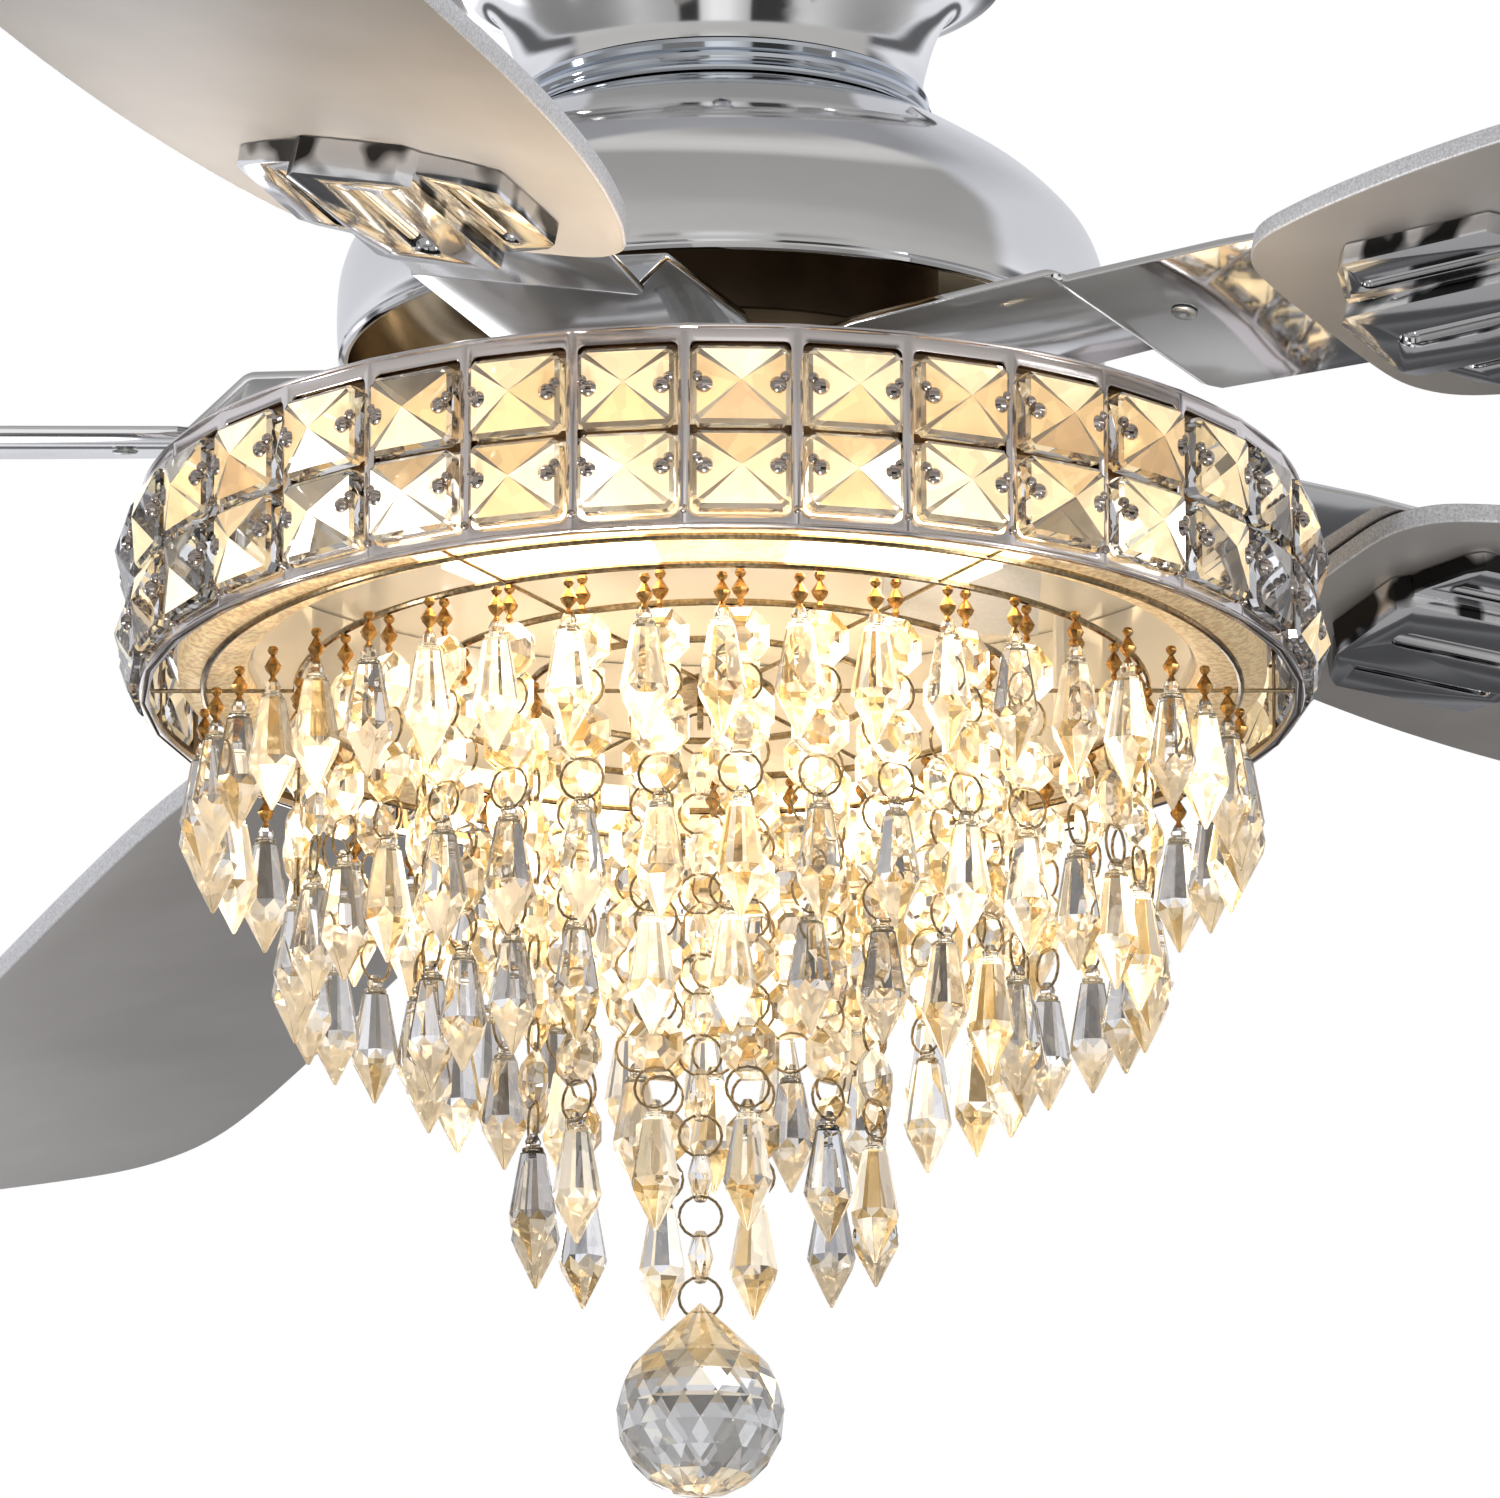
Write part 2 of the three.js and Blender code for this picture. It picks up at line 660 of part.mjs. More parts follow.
// A symmetric outline from [along, half width] shares.
function outlineFrom(shares, start, length, halfWidth) {
  const upper = shares.map(([along, out]) => [start + length * along, halfWidth * out]);
  const lower = upper.map(([x, y]) => [x, -y]).reverse();
  return [...upper, ...lower];
}

function blade() {
  const length = BLADE_TIP_RADIUS - bladeRoot;
  const outline = outlineFrom(BLADE_OUTLINE_SHARES, bladeRoot, length, BLADE_HALF_WIDTH);
  return plate(outline, 0, BLADE_THICKNESS);
}

// One station of the iron's sheet: its four corners at a pitch, with the sheet's underside height.
function ironStation(start, length, shares, bottom, pitch) {
  const [alongOne, acrossOne, alongTwo, acrossTwo] = shares;
  const top = bottom + IRON_THICKNESS;
  const corners = [
    [alongOne, acrossOne, bottom],
    [alongTwo, acrossTwo, bottom],
    [alongTwo, acrossTwo, top],
    [alongOne, acrossOne, top],
  ];
  return corners.flatMap(([along, across, height]) => {
    const y = IRON_HALF_WIDTH * across;
    return [
      start + length * along,
      y * Math.cos(pitch) - height * Math.sin(pitch),
      y * Math.sin(pitch) + height * Math.cos(pitch),
    ];
  });
}

// The iron's sheet: level under the flywheel, folded down to a tab on the blade's own pitch.
function bladeIron() {
  const hubBottom = BLADE_PLANE_BELOW_FLYWHEEL - SEAT_GAP - IRON_THICKNESS;
  const tabBottom = BLADE_THICKNESS + SEAT_GAP;
  const hubLength = IRON_FOLD_RADIUS - IRON_INNER_RADIUS;
  const hub = IRON_HUB_SHARES.flatMap((shares) =>
    ironStation(IRON_INNER_RADIUS, hubLength, shares, hubBottom, 0),
  );
  const tab = IRON_TAB_SHARES.flatMap((shares) =>
    ironStation(tabStart, IRON_TAB_LENGTH, shares, tabBottom, -BLADE_PITCH),
  );
  const count = IRON_HUB_SHARES.length + IRON_TAB_SHARES.length;
  const solid = solidFrom(skin([...hub, ...tab], count));
  return solid.subtract(pitched(ironScrewHole()));
}

// Joins rings of four corners into one closed skin with an end cap at each end.
function skin(positions, stationCount) {
  const sides = 4;
  const index = [0, 2, 1, 0, 3, 2];
  for (let station = 0; station < stationCount - 1; station++) {
    for (let side = 0; side < sides; side++) {
      const a = station * sides + side;
      const b = station * sides + ((side + 1) % sides);
      index.push(a, b, b + sides, a, b + sides, a + sides);
    }
  }
  const last = (stationCount - 1) * sides;
  index.push(last, last + 1, last + 2, last, last + 2, last + 3);
  const geometry = new THREE.BufferGeometry();
  geometry.setAttribute("position", new THREE.Float32BufferAttribute(positions, 3));
  geometry.setIndex(index);
  return geometry;
}

// Turns a solid from the blade's own frame to its pitch.
function pitched(solid) {
  return solid.rotate([THREE.MathUtils.radToDeg(-BLADE_PITCH), 0, 0]);
}

function ironScrewHole() {
  const bottom = BLADE_THICKNESS - CUT_OVERRUN;
  const top = BLADE_THICKNESS + IRON_THICKNESS + CUT_OVERRUN;
  const hole = cylinder(IRON_SCREW_RADIUS + SEAT_GAP, bottom, top, SMALL_SIDES);
  return hole.translate([ironScrewAlong, IRON_SCREW_ACROSS, 0]);
}

function ironScrew() {
  const sheetBottom = BLADE_THICKNESS + SEAT_GAP;
  const sheetTop = sheetBottom + IRON_THICKNESS;
  const headTop = sheetBottom - SEAT_GAP;
  const nutBottom = sheetTop + SEAT_GAP;
  const nutTop = nutBottom + IRON_SCREW_NUT_HEIGHT;
  const headBottom = headTop - IRON_SCREW_HEAD_HEIGHT;
  const head = cylinder(IRON_SCREW_HEAD_RADIUS, headBottom, headTop, SMALL_SIDES);
  const shank = cylinder(IRON_SCREW_RADIUS, headBottom, nutTop, SMALL_SIDES);
  const nut = cylinder(IRON_SCREW_NUT_RADIUS, nutBottom, nutTop, NUT_SIDES);
  return head.add(shank).add(nut).translate([ironScrewAlong, IRON_SCREW_ACROSS, 0]);
}

function medallion() {
  const base = plate(
    outlineFrom(MEDALLION_OUTLINE_SHARES, medallionStart, MEDALLION_LENGTH, MEDALLION_HALF_WIDTH),
    -SEAT_GAP - MEDALLION_BASE_HEIGHT,
    MEDALLION_BASE_HEIGHT,
  );
  const pad = plate(
    outlineFrom(MEDALLION_PAD_SHARES, medallionStart, MEDALLION_LENGTH, MEDALLION_PAD_HALF_WIDTH),
    -SEAT_GAP - MEDALLION_PAD_HEIGHT,
    MEDALLION_PAD_HEIGHT,
  );
  const middle = medallionStart + MEDALLION_LENGTH / 2;
  const slotAt = (length, width, across, face) =>
    plate(
      slotOutline(length, width),
      -SEAT_GAP - face - CUT_OVERRUN,
      CUT_OVERRUN + MEDALLION_SLOT_DEPTH,
    ).translate([middle, across, 0]);
  const padSlot = slotAt(MEDALLION_SLOT_LENGTH, MEDALLION_SLOT_WIDTH, 0, MEDALLION_PAD_HEIGHT);
  let solid = base.add(pad).subtract(padSlot);
  for (const side of [-1, 1]) {
    const across = side * MEDALLION_SIDE_SLOT_OFFSET;
    const length = MEDALLION_SIDE_SLOT_LENGTH;
    solid = solid.subtract(
      slotAt(length, MEDALLION_SIDE_SLOT_WIDTH, across, MEDALLION_BASE_HEIGHT),
    );
  }
  return solid;
}

// Where each of a ring's copies stands, counted from the front.
function frontAngle(index, step, phase) {
  return -Math.PI / 2 + phase + index * step;
}

// Stands an outline, drawn in X and Y, at a radius and an angle, with its depth outwards.
function outwards(solid, angle) {
  return solid.rotate([90, 0, 90]).rotate([0, 0, THREE.MathUtils.radToDeg(angle)]);
}

function squareOutline(width, bottom, top) {
  const half = width / 2;
  return [
    [-half, bottom],
    [half, bottom],
    [half, top],
    [-half, top],
  ];
}

function drumFrame() {
  const profile = [
    [DRUM_RADIUS, drumBottom],
    [DRUM_RADIUS, drumTop],
    [DRUM_RADIUS - DRUM_TOP_FLANGE, drumTop],
    [DRUM_RADIUS - DRUM_TOP_FLANGE, drumTop - DRUM_WALL],
    [drumInner, drumTop - DRUM_WALL],
    [drumInner, drumBottom + DRUM_WALL],
    [DRUM_RADIUS - DRUM_BOTTOM_FLANGE, drumBottom + DRUM_WALL],
    [DRUM_RADIUS - DRUM_BOTTOM_FLANGE, drumBottom],
  ];
  const band = turned(profile, DRUM_COLUMNS, drumTurn);
  const cuts = [];
  for (let column = 0; column < DRUM_COLUMNS; column++) {
    const outline = squareOutline(windowWidth, windowBottom, windowTop);
    const cut = plate(outline, drumInner - CUT_OVERRUN, DRUM_WALL + 2 * CUT_OVERRUN);
    cuts.push(outwards(cut, frontAngle(column, columnStep, DRUM_PHASE)));
  }
  return band.subtract(wasm.Manifold.union(cuts));
}

// One crystal's body: a square slab with a four-sided point, standing out of its window.
function crystal(bottom, top) {
  const half = windowWidth / 2 - CRYSTAL_GAP;
  const middle = (bottom + top) / 2;
  const back = drumInner - CRYSTAL_BACK_DEPTH / 2;
  const shoulder = DRUM_RADIUS + CRYSTAL_STANDOUT;
  const tip = shoulder + CRYSTAL_POINT;
  const corners = squareOutline(2 * half, bottom, top);
  const positions = [];
  for (const depth of [back, shoulder]) {
    for (const [across, height] of corners) positions.push(across, height, depth);
  }
  const sides = corners.length;
  const point = 2 * sides;
  positions.push(0, middle, tip);
  const index = [0, 2, 1, 0, 3, 2];
  for (let side = 0; side < sides; side++) {
    const next = (side + 1) % sides;
    index.push(side, next, next + sides, side, next + sides, side + sides);
    index.push(side + sides, next + sides, point);
  }
  const geometry = new THREE.BufferGeometry();
  geometry.setAttribute("position", new THREE.Float32BufferAttribute(positions, 3));
  geometry.setIndex(index);
  return solidFrom(geometry);
}

// A row of crystals on one glass band, with a gap under and over it.
function crystalRow(below, above) {
  const bottom = below + CRYSTAL_GAP;
  const top = above - CRYSTAL_GAP;
  const outer = drumInner - SEAT_GAP;
  const inner = outer - CRYSTAL_BACK_DEPTH;
  const parts = [
    ring(inner, outer, bottom, top, DRUM_COLUMNS, drumTurn),
  ];
  for (let column = 0; column < DRUM_COLUMNS; column++) {
    parts.push(outwards(crystal(bottom, top), frontAngle(column, columnStep, DRUM_PHASE)));
  }
  return wasm.Manifold.union(parts);
}

function lightPan() {
  const disc = cylinder(drumInner - SEAT_GAP, panBottom, panTop, DRUM_COLUMNS, drumTurn);
  return disc.subtract(shaftHole(panBottom, panTop));
}

function reflectorBand() {
  const inner = reflectorRadius - REFLECTOR_WALL;
  const bottom = carrierBottom + LED_CARRIER_THICKNESS + SEAT_GAP;
  return ring(inner, reflectorRadius, bottom, panBottom - SEAT_GAP, FINE_SIDES);
}

function ledRing() {
  return ring(ledRingRadius - LED_RING_WIDTH, ledRingRadius, ledBottom, ledTop, FINE_SIDES);
}

function ledCarrier() {
  const inner = ledRingRadius - LED_RING_WIDTH - LED_CARRIER_MARGIN;
  const outer = ledRingRadius + LED_CARRIER_MARGIN;
  const top = carrierBottom + LED_CARRIER_THICKNESS;
  let solid = ring(inner, outer, carrierBottom, top, FINE_SIDES);
  const middle = inner + 2 * LED_POST_RADIUS;
  for (let post = 0; post < LED_POST_COUNT; post++) {
    const angle = (Math.PI * (2 * post + 1)) / LED_POST_COUNT;
    const bar = cylinder(LED_POST_RADIUS, carrierBottom, panBottom - SEAT_GAP, SMALL_SIDES);
    solid = solid.add(bar.translate([middle * Math.cos(angle), middle * Math.sin(angle), 0]));
  }
  return solid;
}

function ledDriver() {
  const bottom = panBottom - SEAT_GAP - DRIVER_HEIGHT;
  return block(DRIVER_WIDTH, DRIVER_LENGTH, bottom, DRIVER_HEIGHT).translate([DRIVER_OFFSET, 0, 0]);
}

function shaftNut() {
  const top = panBottom - SEAT_GAP;
  const bottom = top - SHAFT_NUT_HEIGHT;
  return cylinder(SHAFT_NUT_RADIUS, bottom, top, NUT_SIDES).subtract(shaftHole(bottom, top));
}

function hangerFrame() {
  const parts = [cylinder(HANGER_HUB_RADIUS, hangerBottom, hangerTop, ROUND_SIDES)];
  for (const tier of tiers) {
    const half = HANGER_RING_WIDTH / 2;
    const hoop = ring(tier.radius - half, tier.radius + half, hangerBottom, hangerTop, HOOP_SIDES);
    parts.push(hoop.translate([tier.aside, 0, 0]));
  }
  const reach = drumInnerFlat - SEAT_GAP;
  for (let spoke = 0; spoke < HANGER_SPOKE_COUNT; spoke++) {
    const bar = block(reach, HANGER_SPOKE_WIDTH, hangerBottom, HANGER_THICKNESS);
    const angle = (360 * spoke) / HANGER_SPOKE_COUNT;
    parts.push(bar.translate([reach / 2, 0, 0]).rotate([0, 0, angle]));
  }
  const tab = cylinder(EYE_RADIUS, -EYE_THICKNESS / 2, EYE_THICKNESS / 2, SMALL_SIDES);
  const neck = block(EYE_THICKNESS, EYE_RADIUS, eyeCentre, EYE_DROP + HANGER_THICKNESS / 2);
  const eye = tab.rotate([0, 90, 0]).translate([0, 0, eyeCentre]).add(neck);
  const hole = cylinder(EYE_HOLE_RADIUS, -CUT_OVERRUN, CUT_OVERRUN, SMALL_SIDES);
  const pierced = eye.subtract(hole.rotate([0, 90, 0]).translate([0, 0, eyeCentre]));
  parts.push(pierced.translate([PENDANT_ASIDE, 0, 0]));
  return wasm.Manifold.union(parts);
}

// One strand: a stem with beads on it, then a pointed drop.
function strand(tier) {
  const top = hangerBottom - SEAT_GAP - TIER_WIRE / 2;
  const tip = drumBottom - tier.reach;
  const dropTop = tip + DROP_LENGTH;
  const profile = [
    [0, top],
    [STRAND_RADIUS, top],
  ];
  const pitch = (top - dropTop) / Math.max(tier.beads, 1);
  for (let bead = 0; bead < tier.beads; bead++) {
    const beadTop = top - pitch * bead;
    if (bead > 0) profile.push([STRAND_RADIUS, beadTop]);
    profile.push([BEAD_RADIUS, beadTop - pitch / 2]);
  }
  profile.push([DROP_NECK_RADIUS, dropTop]);
  profile.push([DROP_RADIUS, dropTop - DROP_LENGTH * DROP_WIDEST_SHARE]);
  profile.push([0, tip]);
  return turned(profile, STRAND_SIDES);
}

function crystalTier(tier) {
  const top = hangerBottom - SEAT_GAP;
  const half = TIER_WIRE / 2;
  const step = (2 * Math.PI) / tier.count;
  const phase = THREE.MathUtils.degToRad(tier.phase);
  const inner = tier.radius - half;
  const parts = [ring(inner, inner + TIER_WIRE, top - TIER_WIRE, top, tier.count, phase)];
  const piece = strand(tier);
  for (let copy = 0; copy < tier.count; copy++) {
    const angle = frontAngle(copy, step, phase);
    const x = tier.radius * Math.cos(angle);
    const y = tier.radius * Math.sin(angle);
    parts.push(piece.translate([x, y, 0]));
  }
  return wasm.Manifold.union(parts).translate([tier.aside, 0, 0]);
}

const ballCentre = drumBottom - BALL_DROP;
const ballTip = ballCentre + BALL_TIP_RISE;
const lowestLink = ballTip - EYE_RADIUS + LINK_RADIUS;
const highestLink = eyeCentre - LINK_RADIUS;
const linkPitch = (highestLink - lowestLink) / (STRAND_LINK_COUNT - 1);

// Rings with a double-cone bead between each two of them.
function pendantStrand() {
  const parts = [];
  for (let index = 0; index < STRAND_LINK_COUNT; index++) {
    const height = highestLink - index * linkPitch;
    parts.push(link(LINK_RADIUS, LINK_WIRE_RADIUS, height));
    if (index === 0) continue;
    const beadTop = height + linkPitch - LINK_RADIUS + LINK_WIRE_RADIUS;
    const beadBottom = height + LINK_RADIUS - LINK_WIRE_RADIUS;
    const profile = [
      [0, beadTop],
      [STRAND_BEAD_WAIST_RADIUS, beadTop],
      [STRAND_BEAD_RADIUS, (beadTop + beadBottom) / 2],
      [STRAND_BEAD_WAIST_RADIUS, beadBottom],
      [0, beadBottom],
    ];
    parts.push(turned(profile, STRAND_SIDES));
  }
  return wasm.Manifold.union(parts).translate([PENDANT_ASIDE, 0, 0]);
}

function crystalBall() {
  const profile = [[0, ballTip]];
  const shoulder = Math.PI / 4;
  const steps = BALL_SIDES / 2;
  for (let step = 0; step <= steps; step++) {
    const angle = shoulder - ((shoulder + Math.PI / 2) * step) / steps;
    profile.push([BALL_RADIUS * Math.cos(angle), ballCentre + BALL_RADIUS * Math.sin(angle)]);
  }
  profile[profile.length - 1][0] = 0;
  const solid = turned(profile, BALL_SIDES);
  const tunnel = link(LINK_RADIUS, LINK_WIRE_RADIUS + LINK_CLEARANCE, lowestLink);
  return solid.subtract(tunnel).translate([PENDANT_ASIDE, 0, 0]);
}

const group = new THREE.Group();

function place(solid, name, material) {
  group.add(meshFrom(solid, name, material));
}

place(ceilingBracket(), "ceiling_bracket", steel());
place(bracketPin(), "bracket_pin", zinc());
place(canopy(), "canopy", chrome());
place(canopyScrew(-1), "canopy_screw_1", chrome());
place(canopyScrew(1), "canopy_screw_2", chrome());
place(receiver(), "receiver", blackPlastic());
place(collar(), "collar", chrome());
place(motorHousing(), "motor_housing", chrome());
place(centreShaft(), "centre_shaft", steel());
place(bearing(upperBearingBottom), "bearing_upper", steel());
place(bearing(lowerBearingBottom), "bearing_lower", steel());
place(statorCore(), "stator_core", steel());
place(statorWinding(), "stator_winding", copper());
place(rotorShell(), "rotor_shell", darkMetal());
place(flywheel(), "flywheel", darkMetal());
place(lightPan(), "light_pan", whitePaint());
place(shaftNut(), "shaft_nut", zinc());
place(drumFrame(), "drum_frame", chrome());
place(crystalRow(windowBottom, rowMiddle), "crystal_row_lower", clearCrystal());
place(crystalRow(rowMiddle, windowTop), "crystal_row_upper", clearCrystal());
place(reflectorBand(), "reflector_band", chrome());
place(ledCarrier(), "led_carrier", whitePaint());
place(ledRing(), "led_ring", warmDiffuser());
place(ledDriver(), "led_driver", whitePaint());
place(hangerFrame(), "hanger_frame", chrome());
for (const [index, tier] of tiers.entries()) {
  place(crystalTier(tier), `crystal_tier_${index + 1}`, clearCrystal());
}
place(pendantStrand(), "pendant_strand", clearCrystal());
place(crystalBall(), "crystal_ball", clearCrystal());

// Each blade's pieces in a frame of its own: X along the blade, and the clockwise edge high.
for (let copy = 0; copy < BLADE_COUNT; copy++) {
  const number = copy + 1;
  const arm = new THREE.Group();
  arm.position.z = bladePlane;
  arm.rotation.z = BLADE_FIRST_AZIMUTH + (copy * 2 * Math.PI) / BLADE_COUNT;
  arm.add(meshFrom(bladeIron(), `blade_iron_${number}`, chrome()));
  const tilted = new THREE.Group();
  tilted.rotation.x = -BLADE_PITCH;
  tilted.add(meshFrom(blade(), `blade_${number}`, silverPaint()));
  tilted.add(meshFrom(medallion(), `medallion_${number}`, chrome()));
  tilted.add(meshFrom(ironScrew(), `iron_screw_${number}`, zinc()));
  arm.add(tilted);
  group.add(arm);
}

export default group;
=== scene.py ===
# %% [markdown]
# This lesson dresses a ceiling fan that carries a crystal light. The fan was first built as a
# plain, measured model, and that model is loaded here as a fixed frame: it says where each piece
# sits, in metres, with the ceiling at zero and the fan hanging below it.
# Each piece is then remade with the real one's finish, and rides on the body that it moves with.

# %% Load the frame
import math
import random

import bmesh
import bpy
from mathutils import Matrix, Vector


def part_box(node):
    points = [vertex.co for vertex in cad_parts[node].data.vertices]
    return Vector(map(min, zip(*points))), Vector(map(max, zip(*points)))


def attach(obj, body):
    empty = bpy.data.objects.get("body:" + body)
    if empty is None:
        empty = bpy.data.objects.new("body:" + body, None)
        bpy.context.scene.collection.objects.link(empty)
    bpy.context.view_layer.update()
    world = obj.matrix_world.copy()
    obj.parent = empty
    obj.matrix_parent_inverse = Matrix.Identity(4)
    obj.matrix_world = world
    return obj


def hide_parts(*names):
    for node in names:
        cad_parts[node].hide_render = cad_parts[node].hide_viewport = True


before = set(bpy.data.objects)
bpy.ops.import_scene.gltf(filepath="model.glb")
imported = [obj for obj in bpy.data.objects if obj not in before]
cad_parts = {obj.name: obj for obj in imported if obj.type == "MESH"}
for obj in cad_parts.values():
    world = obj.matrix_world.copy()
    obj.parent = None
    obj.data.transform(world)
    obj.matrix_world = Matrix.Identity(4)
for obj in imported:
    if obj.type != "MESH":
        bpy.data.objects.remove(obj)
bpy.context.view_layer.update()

MM = 0.001

# %% [markdown]
# The photograph looks slightly up at the light from some metres away, through a long lens.
# The camera comes first, because it never moves again while the pieces are made.

# %% The camera
CAMERA_PLACE = Vector((0, -4200, -1449.7)) * MM
CAMERA_PITCH_DEGREES = 16.7024
CAMERA_YAW_DEGREES = 0.087
CAMERA_ROLL_DEGREES = -0.054
LENS_MM = 459.2
SENSOR_MM = 36


def turned(degrees, axis="Z"):
    """A turn about an axis through the origin."""
    return Matrix.Rotation(math.radians(degrees), 4, axis)


def placed(name, data):
    """A new object in the scene."""
    made = bpy.data.objects.new(name, data)
    bpy.context.scene.collection.objects.link(made)
    return made


camera_data = bpy.data.cameras.new("photo_camera")
camera_data.lens = LENS_MM
camera_data.sensor_width = SENSOR_MM
camera_data.clip_start = 0.1
camera_data.clip_end = 50
camera = placed("photo_camera", camera_data)
camera.matrix_world = (Matrix.Translation(CAMERA_PLACE) @ turned(-CAMERA_YAW_DEGREES)
                       @ turned(90 + CAMERA_PITCH_DEGREES, "X") @ turned(CAMERA_ROLL_DEGREES))
bpy.context.scene.camera = camera
print("camera at", tuple(CAMERA_PLACE), "m")

# %% [markdown]
# Shader maths reads best as plain expressions. A small class wraps a socket, so that
# 1 - mask adds its Math node by itself.

# %% Sockets as numbers
def operator(operation, reflected=False):
    """The method that adds one Math node, with the wrapped socket first or, reflected, second."""
    def add_node(self, other):
        return self.math(operation, *((other, self) if reflected else (self, other)))
    return add_node


class Signal:
    """A socket that can be added, multiplied and raised to a power like a number."""

    def __init__(self, graph, socket):
        self.graph = graph
        self.socket = socket

    def math(self, operation, first, second=0):
        return self.graph.node("ShaderNodeMath", {"operation": operation}, {0: first, 1: second})[0]

    __add__ = __radd__ = operator("ADD")
    __mul__ = __rmul__ = operator("MULTIPLY")
    __sub__ = operator("SUBTRACT")
    __rsub__ = operator("SUBTRACT", reflected=True)
    __pow__ = operator("POWER")


print("a wrapped socket takes +, -, * and **")

# %% [markdown]
# One method makes any node: it sets the node's options, then fills or links its inputs. The
# named methods on top of it say what a shader needs most often, such as a smooth rise.

# %% Nodes in a graph
class Graph:
    """Makes nodes in the node tree of a material or of the surrounding."""

    def __init__(self, tree):
        self.nodes = tree.nodes
        self.links = tree.links

    def node(self, kind, settings=None, inputs=None):
        made = self.nodes.new(kind)
        for name, value in (settings or {}).items():
            if name == "stops":
                self.fill_ramp(made.color_ramp, value)
            else:
                setattr(made, name, value)
        for key, value in (inputs or {}).items():
            self.fill(made.inputs[key], value)
        return [Signal(self, socket) for socket in made.outputs if socket.enabled]

    def fill(self, target, value):
        if isinstance(value, Signal):
            self.links.new(value.socket, target)
        elif isinstance(value, tuple) and target.type == "RGBA":
            target.default_value = (*value, 1)
        else:
            target.default_value = value

    def fill_ramp(self, ramp, stops):
        while len(ramp.elements) < len(stops):
            ramp.elements.new(1)
        for element, (place, color) in zip(ramp.elements, stops):
            element.position = place
            element.color = (*color, 1)

    def colors(self, value, stops):
        """A colour that runs through the stops as the value goes from 0 to 1."""
        return self.node("ShaderNodeValToRGB", {"stops": stops}, {"Fac": value})[0]

    def tones(self, value, stops):
        """The same with plain grey values."""
        return self.colors(value, [(place, (tone, tone, tone)) for place, tone in stops])

    def rise(self, value, low, high):
        """0 up to the low value, 1 from the high one, with a smooth rise between."""
        inputs = {"Value": value, "From Min": low, "From Max": high}
        return self.node("ShaderNodeMapRange", {"interpolation_type": "SMOOTHSTEP"}, inputs)[0]

    def split(self, vector):
        return self.node("ShaderNodeSeparateXYZ", None, {"Vector": vector})

    def mixed(self, parts):
        """One colour from its red, green and blue."""
        return self.node("ShaderNodeCombineColor", None, dict(enumerate(parts)))[0]


print("graph helpers ready")

# %% [markdown]
# A finish is a material with one Principled shader. Values that are the same all over go
# straight to the shader. Patterns are laid out in the piece's own metres, so they keep their
# true size and need no unwrapping.

# %% A finish
class Finish(Graph):
    """A node material with one Principled shader."""

    def __init__(self, name, **values):
        self.data = bpy.data.materials.new(name)
        self.data.use_nodes = True
        super().__init__(self.data.node_tree)
        self.shader = self.nodes["Principled BSDF"]
        for socket, value in values.items():
            self.set(socket.replace("_", " "), value)

    def set(self, socket, value):
        self.fill(self.shader.inputs[socket], value)

    def place(self, stretch=(1, 1, 1)):
        """The point on the piece, in its own metres, stretched along the axes."""
        here = self.node("ShaderNodeTexCoord")[3]
        return self.node("ShaderNodeMapping", None, {"Vector": here, "Scale": stretch})[0]

    def noise(self, scale, detail=4, roughness=0.5, stretch=(1, 1, 1)):
        """A soft random value from 0 to 1."""
        inputs = {"Vector": self.place(stretch), "Scale": scale, "Detail": detail,
                  "Roughness": roughness}
        return self.node("ShaderNodeTexNoise", None, inputs)[0]

    def cells(self, scale, stretch):
        """A random value from 0 to 1 for each of many straight-edged cells."""
        inputs = {"Vector": self.place(stretch), "Scale": scale}
        return self.split(self.node("ShaderNodeTexVoronoi", None, inputs)[1])[0]

    def bump(self, height, strength, distance):
        inputs = {"Height": height, "Strength": strength, "Distance": distance}
        self.set("Normal", self.node("ShaderNodeBump", None, inputs)[0])


print("shader helpers ready")

# %% [markdown]
# Polished chrome is a mirror, so its look is mostly what stands around it. What its own material
# adds is the faint cloudiness of wiping and the slow waviness of a pressed sheet. The plainer
# metals share one recipe, in which a single random grain moves the colour, gloss and relief.

# %% Metal finishes
WIPE_LIGHTENS = 1.05
WIPE_DULLS = 0.05


def polished_chrome(name, tint, gloss):
    finish = Finish(name, Metallic=1.0)
    wipe = finish.noise(38, detail=6, stretch=(1, 1, 2.5))
    light = tuple(min(1, part * WIPE_LIGHTENS) for part in tint)
    finish.set("Base Color", finish.colors(wipe, [(0.3, tint), (0.75, light)]))
    finish.set("Roughness", gloss + wipe * WIPE_DULLS)
    finish.bump(finish.noise(14, detail=1), strength=0.05, distance=0.0006)
    return finish.data


def painted_reflection_chrome():
    """The steep walls of a small chromed moulding: black and white streaks side by side, a painted
    reflection of dark and bright surroundings.
    """
    finish = Finish("painted_reflection_chrome", Metallic=1.0, Roughness=0.12)
    streaks = finish.noise(95, detail=1, roughness=0.3)
    stops = [(0.44, (0.03, 0.03, 0.03)), (0.5, (0.35, 0.35, 0.36)), (0.56, (0.98, 0.98, 1.0))]
    finish.set("Base Color", finish.colors(streaks, stops))
    finish.bump(streaks, strength=0.3, distance=0.001)
    return finish.data


def grained(name, low, high, scale, detail, gloss=None, bump=None, stops=(0.3, 0.7),
            roughness=0.5, stretch=(1, 1, 1), **values):
    finish = Finish(name, **values)
    grain = finish.noise(scale, detail, roughness, stretch)
    finish.set("Base Color", finish.colors(grain, list(zip(stops, (low, high)))))
    if gloss:
        finish.set("Roughness", gloss[0] + grain * gloss[1])
    if bump:
        finish.bump(grain, *bump)
    return finish


